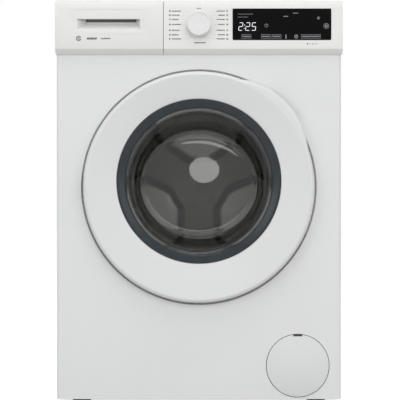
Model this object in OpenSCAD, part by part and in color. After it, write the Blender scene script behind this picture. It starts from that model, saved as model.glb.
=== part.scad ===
// Front load washing machine, as an assembly of separate pieces.
// Millimetres. X runs to the right, Y runs into the machine and Z runs up.
// Inside a module Y is counted from the face of the front panel.

/* [Cabinet] */
// Width over the side panels
cabinet_w = 597; // [590:1:640]
// Height from the floor to the worktop
cabinet_h = 845; // [840:1:900]
// Depth from the front panel's face to the rear panel's face
cabinet_d = 568; // [566:1:640]
// Thickness of the sheet steel
sheet_t = 1; // [0.8:0.1:1.4]
// Height of the cabinet's lower edge above the floor
foot_clear = 10; // [10:0.5:12]
// Width of the folded edges of the sheet steel
flange_w = 22; // [18:1:26]
// Radius of the front panel's upright edges
edge_r = 8; // [4:1:10]
// Thickness of the worktop
worktop_t = 16; // [12:1:20]
// Height of the base pan's upstand
pan_h = 24; // [16:1:28]
// Thickness of the base pan
pan_t = 2; // [1.5:0.5:3]
// Distance of the feet from the cabinet's middle
foot_x = 250; // [230:1:252]
// Radius of a foot's pad
foot_r = 20; // [16:1:22]
// Radius of a foot's threaded stud
stud_r = 5; // [4:0.5:6]

/* [Front] */
// Radius of the door's round outline
door_r = 241; // [236:1:242]
// Height of the door's middle above the floor
door_z = 454; // [450:1:458]
// How far the grip reaches past the door's round outline
grip_out = 13; // [8:1:13]
// Direction of the grip, from the right and upwards
grip_angle = 44; // [30:1:60]
// Room between the grip's back edge and the front panel
grip_gap = 3; // [2:0.5:5]
// How far the door stands in front of the panel
door_out = 26; // [24:1:28]
// Radius of the window
window_r = 172; // [168:1:174]
// Height of the window above the drum's axis
window_up = 6; // [0:1:8]
// Inner radius of the dark trim ring
trim_r = 153; // [148:1:155]
// Depth of the glass bowl behind the panel
bowl_d = 118; // [100:1:120]
// Width of the bowl's end
bowl_w = 262; // [240:2:266]
// Height of the bowl's end
bowl_h = 226; // [210:2:240]
// Thickness of the glass
glass_t = 5; // [4:0.5:6]
// Radius of the dish round the door at the panel's face
dish_r = 247; // [246:0.5:262]
// Depth of the dish round the door
dish_d = 10; // [10:0.5:11]
// Gap between the door and the dish's wall
door_gap = 3; // [2.5:0.5:4]
// Radius of the opening for the gasket
aperture_r = 178; // [176:1:180]
// Height of the control panel
fascia_h = 114; // [108:1:120]
// Width of the control panel
fascia_w = 600; // [600:1:640]
// How far the control panel stands in front of the front panel
fascia_out = 14; // [12:1:16]
// Height of the sloped band along the control panel's foot
band_h = 11; // [8:1:14]
// Width of the drawer's front
drawer_w = 226; // [220:1:230]
// Wall of the moulded plastic pieces
wall = 2.5; // [2:0.1:3]
// Radius of the programme knob
knob_r = 26; // [22:0.5:28]
// How far the knob stands in front of the front panel
knob_out = 32; // [28:1:34]
// Width of the display window
display_w = 206; // [190:1:208]
// Height of the display window
display_h = 66; // [56:1:68]
// Radius of the round filter cover
cover_r = 65.4; // [60:0.2:66]
// Gap round the filter cover
cover_gap = 1.2; // [1:0.1:1.4]
// Place of the filter cover from the cabinet's middle
cover_x = 207; // [200:1:208]
// Height of the filter cover's middle
cover_z = 80; // [79:1:82]

/* [Washing group] */
// Height of the drum's axis
axis_z = 460; // [458:1:464]
// Outer radius of the tub
tub_r = 279; // [276:0.5:280]
// Wall of the tub
tub_wall = 4; // [3:0.5:5]
// Where the tub starts, from the front panel's face
tub_front_y = 55; // [54:1:58]
// Where the tub's halves meet
tub_split_y = 250; // [246:1:256]
// Where the tub ends
tub_back_y = 450; // [446:1:452]
// Radius of the tub's mouth
mouth_r = 172; // [170:0.5:174]
// Outer radius of the drum
drum_r = 262; // [258:0.5:263]
// Where the drum starts
drum_front_y = 85; // [82:1:90]
// Where the drum ends
drum_back_y = 427; // [424:1:428]
// Radius of the drum's mouth
drum_mouth_r = 162; // [156:1:166]
// Thickness of the drum's sheet
drum_t = 1.2; // [0.8:0.1:1.6]
// Holes in one ring of the drum's wall
hole_count = 18; // [12:3:24]
// Rings of holes in the drum's wall
hole_rings = 5; // [3:1:6]
// Radius of a hole in the drum's wall
hole_r = 2; // [1.5:0.1:2.5]
// Radius of the drum's shaft in its front bearing
shaft_r = 15; // [14:0.5:16]
// Radius of the drum's shaft in its rear bearing
shaft_rear_r = 12.5; // [12:0.5:13]
// Outer radius of the front bearing
bearing_r = 31; // [29:0.5:32]
// Outer radius of the drum pulley
pulley_r = 150; // [140:1:155]
// Outer radius of the motor's pulley
motor_pulley_r = 11; // [10:0.5:12]
// Radius of the motor
motor_r = 54; // [50:1:56]
// Height of the motor's shaft
motor_z = 100; // [98:1:104]
// Width of the belt
belt_w = 12; // [10:0.5:13]
// Thickness of the belt
belt_t = 4; // [3:0.5:5]
// Distance of the springs from the middle
spring_x = 250; // [245:1:252]
// Outer radius of a spring
spring_r = 11; // [9:0.5:12]
// Turns of a spring
spring_turns = 9; // [7:1:10]
// Distance of the dampers from the middle
damper_x = 170; // [165:1:175]
// Outer radius of a damper
damper_r = 17; // [15:0.5:19]
// Radius of a damper's rod
rod_r = 6; // [5:0.5:7]
// Outer radius of the pump's filter tube
pump_r = 31; // [29:0.5:32]

/* [Rear] */
// Radius of the water inlet's thread
inlet_r = 13.2; // [13:0.1:13.4]
// How far the water inlet stands out of the rear panel
rear_out = 20; // [18:1:24]
// Radius of a transit bolt hole
transit_r = 11; // [9:0.5:12]
// Spacing of the transit bolts across
transit_w = 410; // [404:2:420]
// Spacing of the transit bolts upwards
transit_h = 440; // [430:2:460]

/* [Fits] */
// Clearance of a running fit
fit_gap = 0.05; // [0.03:0.01:0.08]
// Clearance between pieces that move past each other
slide_gap = 1.5; // [1:0.1:2]
// Clearance round a piece that is set into another
set_gap = 0.3; // [0.2:0.05:0.4]

/* [Hidden] */
$fn = 96;
painted = "white";
plastic = [0.93, 0.93, 0.94];
dark = [0.12, 0.13, 0.16];
rubber = [0.62, 0.63, 0.65];
steel = [0.75, 0.76, 0.78];
tub_grey = [0.7, 0.72, 0.72];

// Origin in the middle of the whole depth, from the knob to the water inlet.
front_y = -(knob_out + cabinet_d + rear_out) / 2 + knob_out;
half_w = cabinet_w / 2;
base_z = foot_clear;
top_z = cabinet_h - worktop_t;
floor_z = base_z + sheet_t + pan_t;
rear_y = cabinet_d - sheet_t;
fascia_z = cabinet_h - fascia_h;
fascia_top = cabinet_h - 1;
panel_top = fascia_z + 3;
half_f = fascia_w / 2;
split_x = -half_f + drawer_w;
knob_z = fascia_top - 51;
display_x = 70;
display_z = knob_z - 33;
dish_in_r = door_r + door_gap;
window_z = axis_z + window_up;
gasket_lip_r = bowl_w / 2 + 26;
tub_in = tub_r - tub_wall;
flange_r = tub_r + 9;
lug_x = 60;
hinge_x = -(door_r - 5);
hinge_y = -12;
latch_x = door_r - 36;
spring_y = 320;
spring_low = axis_z + 182;
rail_z = top_z - 29;
damper_y = 230;
damper_top = axis_z - 238;
damper_pad = floor_z + 18;
hub_r = bearing_r + 11;
hub_end = tub_back_y + 40;
seal_y = drum_back_y + 17;
bearing_y = seal_y + 8;
rear_bearing_y = bearing_y + 20;
pulley_y = hub_end + 6;
pulley_w = belt_w + 4;
motor_y = 330;
motor_end = 460;
pump_end = 110;
cap_y = 12;
cup_y = cap_y + 18;
tray_l = 240;
housing_l = tray_l + 25;
tray_z = fascia_z + 22;
tray_top = fascia_top - 30;
housing_z = tray_z - 5;
housing_top = top_z - 4;
housing_x0 = -half_f + 8;
housing_x1 = split_x - 10;
valve_x = -half_w + 98.5;
valve_z = cabinet_h - 60;
drain_x = half_w - 58.5;
hose_x = half_w - 32.5;
drain_z = cabinet_h - 85;
hinge_cover_z = cover_z - cover_r + 5.4;
hinge_cover_y = -0.2;
foot_front_y = 55;
foot_rear_y = cabinet_d - 55;

module from_front() translate([0, front_y, 0]) children();

// A box between two corners.
module block(x0, x1, y0, y1, z0, z1)
    translate([x0, y0, z0]) cube([x1 - x0, y1 - y0, z1 - z0]);

// The same piece on both sides of the middle.
module both_sides() {
    children();
    mirror([1, 0, 0]) children();
}

// A disc about an axis that runs into the machine, from depth y0 to y1.
module disc(r, y0, y1, x = 0, z = 0)
    translate([x, y0, z]) rotate([-90, 0, 0]) cylinder(r = r, h = y1 - y0);

module ring(r, r_in, y0, y1, x = 0, z = 0) difference() {
    disc(r, y0, y1, x, z);
    disc(r_in, y0 - 1, y1 + 1, x, z);
}

// A turned piece whose outline is given as [radius, depth].
module turned(outline, x = 0, z = 0)
    translate([x, 0, z]) rotate([-90, 0, 0]) rotate_extrude() polygon(outline);

// An upright cylinder.
module post(r, x, y, z0, z1) translate([x, y, z0]) cylinder(r = r, h = z1 - z0);

// A cylinder that lies across the machine.
module bar(r, x0, x1, y, z) translate([x0, y, z]) rotate([0, 90, 0]) cylinder(r = r, h = x1 - x0);

// A rounded rectangle about the origin.
module rounded_rect(w, h, r) {
    square([w - 2 * r, h], center = true);
    square([w, h - 2 * r], center = true);
    for (x = [-1, 1], y = [-1, 1])
        translate([x * (w / 2 - r), y * (h / 2 - r)]) circle(r);
}

// A plate that faces the front, with rounded corners.
module plate(w, h, r, y0, y1, x = 0, z = 0)
    translate([x, y1, z]) rotate([90, 0, 0]) linear_extrude(y1 - y0) rounded_rect(w, h, r);

// An outline in depth and height, as [y, z], that runs from x0 to x1.
module profile(x0, x1, outline)
    translate([x0, 0, 0]) rotate([90, 0, 90]) linear_extrude(x1 - x0) polygon(outline);

// Closed surface through rings of points that all have the same count.
module skin(rings) {
    n = len(rings[0]);
    m = len(rings);
    polyhedron(
        points = [for (one = rings) each one],
        faces = concat(
            [[for (i = [0:n - 1]) i]],
            [for (j = [0:m - 2], i = [0:n - 1])
                each [[j * n + i, (j + 1) * n + i, (j + 1) * n + (i + 1) % n],
                    [j * n + i, (j + 1) * n + (i + 1) % n, j * n + (i + 1) % n]]],
            [[for (i = [n - 1:-1:0]) (m - 1) * n + i]]),
        convexity = 6);
}

function unit(v) = v / norm(v);
function heading(path, i) =
    unit(path[min(i + 1, len(path) - 1)] - path[max(i - 1, 0)]);
function side_of(t) = abs(t[2]) > 0.9 ? unit(cross([0, 1, 0], t)) : unit(cross([0, 0, 1], t));
function next_side(s, t) = unit(s - (s * t) * t);
function sides_along(path) = [for (i = 0, s = side_of(heading(path, 0)); i < len(path);
    i = i + 1, s = i < len(path) ? next_side(s, heading(path, i)) : s) s];

// A round tube or wire of radius r along a path.
module sweep(path, r, sides = 10) {
    s = sides_along(path);
    skin([for (i = [0:len(path) - 1]) [for (k = [0:sides - 1])
        path[i] + r * (cos(k * 360 / sides) * s[i]
            + sin(k * 360 / sides) * cross(heading(path, i), s[i]))]]);
}

// Points of a smooth curve through the knots of a hose.
function smooth_point(p, i, t) = let (
    a = p[max(i - 1, 0)], b = p[i], c = p[i + 1], d = p[min(i + 2, len(p) - 1)])
    0.5 * (2 * b + (c - a) * t + (2 * a - 5 * b + 4 * c - d) * t * t
        + (3 * b - a - 3 * c + d) * t * t * t);
function smooth_path(p, steps) = concat(
    [for (i = [0:len(p) - 2], k = [0:steps - 1]) smooth_point(p, i, k / steps)],
    [p[len(p) - 1]]);

// The same path with its ends pushed out a little.
function pushed(p) = let (n = len(p) - 1) concat([p[0] + unit(p[0] - p[1])],
    [for (i = [1:n - 1]) p[i]], [p[n] + unit(p[n] - p[n - 1])]);

module hose(knots, r, r_in) difference() {
    sweep(smooth_path(knots, 4), r);
    sweep(pushed(smooth_path(knots, 4)), r_in);
}

// ---- Cabinet ----

pressing_y0 = 90;
pressing_y1 = cabinet_d - 60;
pressing_z0 = 120;
pressing_z1 = cabinet_h - 150;
pressing_d = 3;

// Folded side sheet with a shallow pressed field that stiffens it.
module side_sheet() difference() {
    folded_side();
    screw_holes();
}

module folded_side() {
    difference() {
        block(half_w - sheet_t, half_w, flange_w + 0.5, rear_y, base_z, top_z);
        block(half_w - 5, half_w + 1, pressing_y0 + sheet_t, pressing_y1 - sheet_t,
            pressing_z0 + sheet_t, pressing_z1 - sheet_t);
    }
    difference() {
        block(half_w - pressing_d - sheet_t, half_w, pressing_y0, pressing_y1,
            pressing_z0, pressing_z1);
        block(half_w - pressing_d, half_w + 1, pressing_y0 + sheet_t, pressing_y1 - sheet_t,
            pressing_z0 + sheet_t, pressing_z1 - sheet_t);
    }
    // tongue behind the front panel's fold
    block(half_w - 2 * sheet_t, half_w - sheet_t, edge_r + 1, flange_w + 12, base_z + sheet_t, top_z);
    block(half_w - flange_w, half_w, rear_y - sheet_t, rear_y, base_z, top_z);
    block(half_w - flange_w, half_w, flange_w + 0.5, rear_y, base_z, base_z + sheet_t);
    block(half_w - flange_w, half_w, flange_w + 0.5, rear_y, top_z - sheet_t, top_z);
}

module side_panel_right() color(painted) from_front() side_sheet();

module side_panel_left() color(painted) from_front() mirror([1, 0, 0]) side_sheet();

service_w = 380;
service_h = 380;
service_z = axis_z;

module rear_panel() color(steel) from_front() difference() {
    block(-half_w, half_w, rear_y, cabinet_d, base_z, top_z);
    plate(service_w, service_h, 30, rear_y - 1, cabinet_d + 1, 0, service_z);
    for (x = [-1, 1], z = [-1, 1])
        disc(transit_r, rear_y - 1, cabinet_d + 1, x * transit_w / 2, axis_z + z * transit_h / 2);
    disc(inlet_r + 3, rear_y - 1, cabinet_d + 1, valve_x, valve_z);
    disc(13, rear_y - 1, cabinet_d + 1, drain_x, drain_z);
    disc(8, rear_y - 1, cabinet_d + 1, drain_x, drain_z - 90);
    for (i = [0:7])
        block(-60 + 16 * i, -54 + 16 * i, rear_y - 1, cabinet_d + 1, 90, 130);
    screw_holes();
}

// Cover over the belt, with a raised middle.
module service_cover() color(steel) from_front() difference() {
    union() {
        plate(service_w + 30, service_h + 30, 40, cabinet_d, cabinet_d + sheet_t, 0, service_z);
        plate(service_w - 60, service_h - 60, 60, cabinet_d, cabinet_d + 7, 0, service_z);
    }
    plate(service_w - 62, service_h - 62, 59, cabinet_d - 1, cabinet_d + 7 - sheet_t, 0, service_z);
    screw_holes();
}

// Sheet steel front, folded back at both sides, at the top and at the foot.
module front_panel() color(painted) from_front() difference() {
    union() {
        difference() {
            translate([0, 0, base_z]) linear_extrude(panel_top - base_z) difference() {
                translate([0, half_w]) rounded_rect(cabinet_w, cabinet_w, edge_r);
                translate([0, half_w])
                    rounded_rect(cabinet_w - 2 * sheet_t, cabinet_w - 2 * sheet_t, edge_r - sheet_t);
                translate([-cabinet_w, flange_w]) square([2 * cabinet_w, 2 * cabinet_w]);
            }
            disc(dish_r, -1, 5, 0, door_z);
        }
        block(-half_w + edge_r, half_w - edge_r, 0, flange_w, base_z, base_z + sheet_t);
        block(-half_w + edge_r, half_w - edge_r, 0, flange_w, panel_top - sheet_t, panel_top);
        // dish that the door closes into
        turned([[dish_r + 0.01, 0], [dish_in_r, dish_d], [100, dish_d], [100, dish_d + sheet_t],
            [dish_in_r + sheet_t, dish_d + sheet_t], [dish_r + sheet_t, sheet_t]], 0, door_z);
        ring(aperture_r + sheet_t, aperture_r, dish_d, dish_d + 8, 0, axis_z);
    }
    disc(aperture_r, -5, 40, 0, axis_z);
    block(latch_x - 8, latch_x + 11, 0, 40, door_z - 12, door_z + 12);
    disc(cover_r + cover_gap, -1, 5, cover_x, cover_z);
}

module base_pan() color(dark) from_front() difference() {
    union() {
        difference() {
            block(-half_w + 4, half_w - 4, 10, rear_y - sheet_t, base_z + sheet_t, floor_z + pan_h);
            block(-half_w + 4 + pan_t, half_w - 4 - pan_t, 10 - 1, rear_y - sheet_t - pan_t,
                floor_z, floor_z + pan_h + 1);
        }
        block(-half_w + 4, half_w - 4, cup_y + 5, cup_y + 5 + pan_t, floor_z - 1, floor_z + pan_h);
        for (x = [-foot_x, foot_x], y = [foot_front_y, foot_rear_y])
            block(x - 22, x + 22, y - 17, y + 22, base_z + sheet_t, floor_z + 18);
        both_sides() block(damper_x - 22, damper_x + 22, damper_y - 22, damper_y + 22,
            floor_z - 1, damper_pad);
        // saddle under the pump
        block(cover_x - 20, cover_x + 20, 70, 100, floor_z - 1, cover_z - pump_r + 4);
        for (y = [170, 300, 420])
            block(-half_w + 5, half_w - 5, y, y + pan_t, floor_z - 1, floor_z + 10);
    }
    for (x = [-foot_x, foot_x], y = [foot_front_y, foot_rear_y])
        post(stud_r + fit_gap, x, y, 0, floor_z + 30);
    disc(pump_r + fit_gap, 60, 110, cover_x, cover_z);
}

module worktop() color(painted) from_front()
    translate([0, cabinet_d, 0]) rotate([90, 0, 0]) linear_extrude(cabinet_d - 3.5)
        translate([0, top_z + worktop_t / 2]) {
            rounded_rect(cabinet_w, worktop_t, 4);
            translate([0, -worktop_t / 4]) square([cabinet_w, worktop_t / 2], center = true);
        }

// Channel between the sides, which carries the springs and stiffens the cabinet.
module spring_rail() color(steel) from_front() difference() {
    block(-half_w + 2 * sheet_t, half_w - 2 * sheet_t, spring_y - 20, spring_y + 20,
        rail_z, top_z - sheet_t);
    block(-half_w, half_w, spring_y - 18.5, spring_y + 18.5, rail_z + 1.5, top_z - 1 - 1.5);
    for (x = [-spring_x, spring_x]) post(3, x, spring_y, rail_z - 1, rail_z + 5);
    for (x = [-180:60:180]) post(10, x, spring_y, rail_z - 1, top_z + 1);
}

// ---- Control panel and drawer ----

// Outer outline of the control panel, moved inwards by t.
function fascia_outline(t) = [
    [2, fascia_z + t], [-2, fascia_z + t], [-fascia_out + t, fascia_z + band_h + t * 0.4],
    [-fascia_out + t, fascia_top - 17], [-fascia_out + 1.5 + t, fascia_top - 8],
    [-fascia_out + 5 + t, fascia_top - 2 - t * 0.6], [-fascia_out + 9, fascia_top - t], [2, fascia_top - t]];

// Moulded shell between two places across the machine, closed at both ends.
module fascia_shell(x0, x1) difference() {
    profile(x0, x1, fascia_outline(0));
    translate([0, 0.01, 0]) profile(x0 + wall, x1 - wall, fascia_outline(wall));
}

window_x0 = display_x;
window_x1 = display_x + display_w;
window_z1 = display_z + display_h;

module control_panel() color(plastic) from_front() difference() {
    union() {
        fascia_shell(split_x + 0.5, half_f);
        // carrier behind the drawer's front
        block(-half_f + 2, split_x + 3, 0, 2, fascia_z + 5, fascia_top);
        block(split_x, half_f - 1, 0, 2, fascia_z + 5, fascia_top);
        for (z = [display_z + 4, window_z1 - 4])
            for (x = [20, half_f - 14]) disc(4, 0, 5, x, z);
        ring(8, 4, -fascia_out + 1, 1, 0, knob_z);
    }
    block(window_x0, window_x1, -fascia_out - 1, -fascia_out + 2, display_z, window_z1);
    block(window_x0 + 5, window_x1 - 5, -fascia_out - 1, 5, display_z + 5, window_z1 - 5);
    block(housing_x0 + 1, housing_x1 - 1, -1, 5, tray_z - 2, tray_top + 4);
    disc(4, -fascia_out - 1, 5, 0, knob_z);
    block(-half_f, half_f + 1, 0, 5, fascia_z - 1, panel_top);
}

module display_window() color("black") from_front()
    plate(display_w - 2 * set_gap, display_h - 2 * set_gap, 3, -fascia_out - 0.4, -fascia_out + 2,
        (window_x0 + window_x1) / 2, (display_z + window_z1) / 2);

// Board with the display module and the knob's encoder.
module control_board() color("green") from_front() {
    block(-20, half_f - 8, 5, 6.6, display_z, window_z1);
    block(window_x0 + 12, window_x1 - 12, -fascia_out + 4, 5, display_z + 8, window_z1 - 8);
    block(-9, 9, 2, 5, knob_z - 9, knob_z + 9);
    disc(3, -knob_out + 8, 5, 0, knob_z);
    block(120, 160, 6.6, 22, display_z + 12, window_z1 - 12);
    for (x = [30:14:86]) block(x, x + 9, 6.6, 12, display_z + 6, display_z + 16);
}

module control_knob() color(plastic) from_front() difference() {
    turned([[0, -knob_out + 1.2], [knob_r - 5, -knob_out + 0.6], [knob_r - 3.6, -knob_out],
        [knob_r - 2, -knob_out + 0.6], [knob_r - 0.6, -knob_out + 3], [knob_r, -fascia_out - 2.5],
        [knob_r, -fascia_out - 0.5], [0, -fascia_out - 0.5]], 0, knob_z);
    disc(3 + fit_gap, -knob_out + 7.5, 0, 0, knob_z);
    ring(knob_r - 3, 8, -knob_out + 5, 0, 0, knob_z);
}

pull_x0 = -half_f + 46;
pull_x1 = split_x - 48;
pull_z0 = tray_z + 27;
pull_z1 = pull_z0 + 24;
pull_back = 8;

// Outline of the pull recess in depth and height, moved outwards by t.
function pull_outline(t) = [
    [-fascia_out - 2, pull_z0 - t], [pull_back + t, pull_z1 - 8 - t],
    [pull_back + t, pull_z1 + 4 + t], [-fascia_out + 4 - t, pull_z1 + 4 + t],
    [-fascia_out + 4 - t, pull_z1 + t], [-fascia_out - 2, pull_z1 + t]];

module drawer_front() color(plastic) from_front() difference() {
    union() {
        difference() {
            profile(-half_f, split_x - 0.5, fascia_outline(0));
            translate([0, 0.01, 0]) profile(-half_f + wall, split_x - 0.5 - wall, fascia_outline(wall));
            block(-half_w - 5, split_x + 1, -0.3, 5, fascia_z - 1, fascia_top + 1);
        }
        intersection() {
            profile(pull_x0 - wall, pull_x1 + wall, pull_outline(wall));
            block(-half_f, split_x, -fascia_out, tray_z, fascia_z, fascia_top);
        }
    }
    profile(pull_x0, pull_x1, pull_outline(0));
}

// Three open compartments in one tray.
module drawer_tray() color([0.9, 0.92, 0.94]) from_front() {
    x0 = housing_x0 + 2 + slide_gap;
    x1 = housing_x1 - 2 - slide_gap;
    y0 = pull_back + wall + 1;
    div1 = x0 + (x1 - x0) * 0.3;
    div2 = x0 + (x1 - x0) * 0.72;
    difference() {
        block(x0, x1, y0, y0 + tray_l, tray_z, tray_top);
        block(x0 + 2, div1 - 1, y0 + 2, y0 + tray_l - 2, tray_z + 2, tray_top + 1);
        block(div1 + 1, div2 - 1, y0 + 2, y0 + tray_l - 2, tray_z + 2, tray_top + 1);
        block(div2 + 1, x1 - 2, y0 + 2, y0 + tray_l - 2, tray_z + 2, tray_top + 1);
    }
    // arms that hold the tray to the drawer's front
    for (x = [x0, x1 - 6]) block(x, x + 6, -0.3, y0 + 1, tray_z, tray_top - 8);
    // siphon tube in the right compartment
    translate([0, y0 + tray_l - 30, 0]) post(4, (div2 + x1) / 2, 0, tray_z + 1, tray_z + 34);
}

module siphon_cap() color("steelblue") from_front() difference() {
    x0 = housing_x0 + 2 + slide_gap;
    x1 = housing_x1 - 2 - slide_gap;
    div2 = x0 + (x1 - x0) * 0.72;
    y = pull_back + wall + 1 + tray_l - 30;
    union() {
        post(8, (div2 + x1) / 2, y, tray_z + 4, tray_z + 40);
        block(div2 + 1 + set_gap, x1 - 2 - set_gap, y - 12, y + 12, tray_z + 37, tray_z + 39.5);
    }
    post(5, (div2 + x1) / 2, y, tray_z, tray_z + 37);
}

module dispenser_housing() color(tub_grey) from_front() {
    difference() {
        union() {
            block(housing_x0, housing_x1, 2, 2 + housing_l, housing_z, housing_top);
            block(housing_x0 - 4, housing_x1 + 6, 2, 4, housing_z - 2, housing_top);
            post(18, bellows_x, bellows_y, housing_z - 6, housing_z + 1);
            disc(8, housing_l, housing_l + 20, valve_x, hose_z);
        }
        block(housing_x0 + 2, housing_x1 - 2, -1, housing_l, housing_z + 2, housing_top - 2);
        post(15, bellows_x, bellows_y, housing_z - 7, housing_z + 5);
        disc(5.5, housing_l - 5, housing_l + 21, valve_x, hose_z);
    }
    // rails under the tray
    for (x = [housing_x0 + 24, housing_x1 - 27])
        block(x, x + 3, 6, housing_l - 4, housing_z + 1, tray_z - set_gap);
}

bellows_x = -120;
bellows_y = 150;
hose_z = rail_z - 18;

module inlet_valve() color([0.85, 0.86, 0.88]) from_front() difference() {
    union() {
        disc(inlet_r, cabinet_d - 12, cabinet_d + rear_out, valve_x, valve_z);
        disc(inlet_r + 6, rear_y - 8, rear_y, valve_x, valve_z);
        block(valve_x - 16, valve_x + 16, rear_y - 50, rear_y - 8, valve_z - 16, valve_z + 16);
        block(valve_x + 16, valve_x + 40, rear_y - 46, rear_y - 14, valve_z - 13, valve_z + 13);
        block(valve_x - 26, valve_x + 26, rear_y - 2, rear_y, valve_z - 18, valve_z + 18);
        disc(8, rear_y - 70, rear_y - 50, valve_x, hose_z);
        block(valve_x - 10, valve_x + 10, rear_y - 52, rear_y - 40, hose_z - 10, valve_z);
    }
    disc(inlet_r - 4, cabinet_d + 2, cabinet_d + rear_out + 1, valve_x, valve_z);
}

// Water hose from the valve to the dispenser, and the drain hose up the rear corner.
module internal_hoses() color(rubber) from_front() {
    ring(11, 8 + 0.1, housing_l + 4, housing_l + 22, valve_x, hose_z);
    ring(9, 6, housing_l + 22, rear_y - 72, valve_x, hose_z);
    ring(11, 8 + 0.1, rear_y - 72, rear_y - 54, valve_x, hose_z);
    hose([[cover_x, 150.2, cover_z + 38], [cover_x, 164, cover_z + 38], [cover_x, 182, cover_z + 38],
        [cover_x + 16, 216, cover_z + 26], [hose_x - 12, 248, cover_z + 2], [hose_x, 290, cover_z - 14],
        [hose_x, 400, cover_z - 15], [hose_x, cabinet_d - 90, cover_z],
        [hose_x, cabinet_d - 42, cover_z + 60], [hose_x, cabinet_d - 36, cover_z + 160],
        [hose_x, cabinet_d - 36, drain_z - 180], [drain_x, cabinet_d - 36, drain_z - 50],
        [drain_x, cabinet_d - 26, drain_z - 12], [drain_x, cabinet_d - 2, drain_z],
        [drain_x, cabinet_d + 14, drain_z]], 11, 8.5);
}

module mains_inlet() color(dark) from_front() difference() {
    union() {
        disc(12, cabinet_d, cabinet_d + 6, drain_x, drain_z - 90);
        disc(7.7, cabinet_d - 14, cabinet_d + 1, drain_x, drain_z - 90);
        disc(12, cabinet_d - 10, rear_y, drain_x, drain_z - 90);
    }
    disc(4, cabinet_d - 20, cabinet_d + 10, drain_x, drain_z - 90);
}

// ---- Door ----

lobe_half = 24.5;
lobe_r = (pow(door_r * sin(lobe_half), 2) + pow(door_r + grip_out - door_r * cos(lobe_half), 2))
    / (2 * (door_r + grip_out - door_r * cos(lobe_half)));
lobe_c = door_r + grip_out - lobe_r;
door_back = 5;
frame_y = -door_out;
// Width of the rim outside its crest, and the depth of the window's edge
crest = 8;
throat_y = -12;
// Depth of the hollow for the fingers behind the grip
finger_room = 14;

// Solid behind the door's white face, for an outline of radius r, made smaller by t.
module door_crown(r, t, x = 0, z = door_z) turned([[0, door_back], [r - t, door_back], [r - t, -15],
    [r - 0.8 - t, -19 + t * 0.2], [r - 3 - t * 0.8, -22.8 + t * 0.6], [r - crest, frame_y + t],
    [0, frame_y + t]], x, z);

module door_outline(t) {
    door_crown(door_r, t);
    intersection() {
        door_crown(lobe_r, t, lobe_c * cos(grip_angle), door_z + lobe_c * sin(grip_angle));
        rotate_about_door() block(60, 300, -60, -grip_gap, -110, 110);
    }
}

// Turns a piece that points right so that it points towards the grip.
module rotate_about_door() translate([0, 0, door_z]) rotate([0, -grip_angle, 0]) children();

function round_ring(r, y, z) = [for (i = [0:71]) [r * cos(i * 5), y, z - r * sin(i * 5)]];

// Funnel from the rim's crest in to the window, which lies a little higher, deeper by t.
module window_funnel(t, end) skin([
    round_ring(door_r - crest, -60, door_z), round_ring(door_r - crest, frame_y + t - 0.01, door_z),
    round_ring(window_r + t, throat_y + t, window_z), round_ring(window_r + t, end, window_z)]);

// Room for the hinge inside the door's left edge.
module hinge_pocket() block(-door_r - 10, -door_r + 22, hinge_y - 6, 30,
    door_z - 34, door_z + 34);

module door_front_frame() color("white") from_front() difference() {
    door_outline(0);
    difference() {
        translate([0, 0.01, 0]) door_outline(wall);
        window_funnel(wall, -3.3);
    }
    window_funnel(0, 30);
    hinge_pocket();
    // hollow for the fingers behind the grip
    rotate_about_door() block(door_r - 40, door_r + 40, -finger_room, 30, -42, 42);
    block(-400, 400, door_back - 0.5, 40, 0, cabinet_h);
}

// Dark glossy ring between the white frame and the glass.
module door_trim_ring() color(dark) from_front() turned([[window_r - 0.5, -3], [window_r - 0.5, throat_y],
    [window_r - 3, throat_y - 1], [window_r - 8, throat_y + 0.5], [trim_r, -6], [trim_r, -3]],
    0, window_z);

module door_inner_frame() color(tub_grey) from_front() difference() {
    union() {
        turned([[door_r - 5, door_back], [door_r - 5, door_back - 2.5], [195, -3], [176, -6],
            [176, 3.5], [190, door_back]], 0, door_z);
        turned([[186, door_back], [186, -3], [155, -3], [155, 0], [176, 0], [176, door_back]],
            0, window_z);
        // bosses under the hinge arm
        for (s = [-1, 1]) disc(5, hinge_y + 1, 1, hinge_x + 37, door_z + s * 22);
    }
    hinge_pocket();
    rotate_about_door() block(door_r - 40, door_r + 40, -finger_room, 30, -42, 42);
    post(1.5 + press_gap, latch_x, latch_y, door_z - 27.5, door_z + 27.5);
    block(latch_x - 12, latch_x + 12, -20, 20, door_z - 22, door_z + 22);
    disc(trim_r - 1, -30, 30, 0, window_z);
    // room for the window's edge and the trim ring in front, and for the glass behind
    disc(window_r + wall + set_gap, -30, -3, 0, window_z);
    disc(176, 0, 30, 0, window_z);
}

bowl_rings = 9;
bowl_sides = 56;

// Ring k of the bowl, a circle at its rim that turns to an oval at its end, smaller by t.
function bowl_ring(k, t) = let (
    s = k / (bowl_rings - 1),
    y = 3 + (bowl_d - 3 - t) * sin(s * 90) ,
    a = (trim_r - 5 - t) * (1 - pow(s, 3)) + (bowl_w / 2 - t) * pow(s, 3) - 2 * s * (1 - s) * 8,
    b = (trim_r - 5 - t) * (1 - pow(s, 3)) + (bowl_h / 2 - t) * pow(s, 3) - 2 * s * (1 - s) * 14,
    zc = window_z - 7 * s)
    [for (i = [0:bowl_sides - 1]) [a * cos(i * 360 / bowl_sides), y, zc - b * sin(i * 360 / bowl_sides)]];

module bowl_solid(t, lead) skin(concat(
    [[for (p = bowl_ring(0, t)) [p[0], p[1] - lead, p[2]]]],
    [for (k = [0:bowl_rings - 1]) bowl_ring(k, t)]));

module door_glass() color([0.3, 0.33, 0.38, 0.5]) from_front() difference() {
    union() {
        bowl_solid(0, 3);
        disc(170, 0, 4, 0, window_z);
    }
    bowl_solid(glass_t, 20);
}

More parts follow.
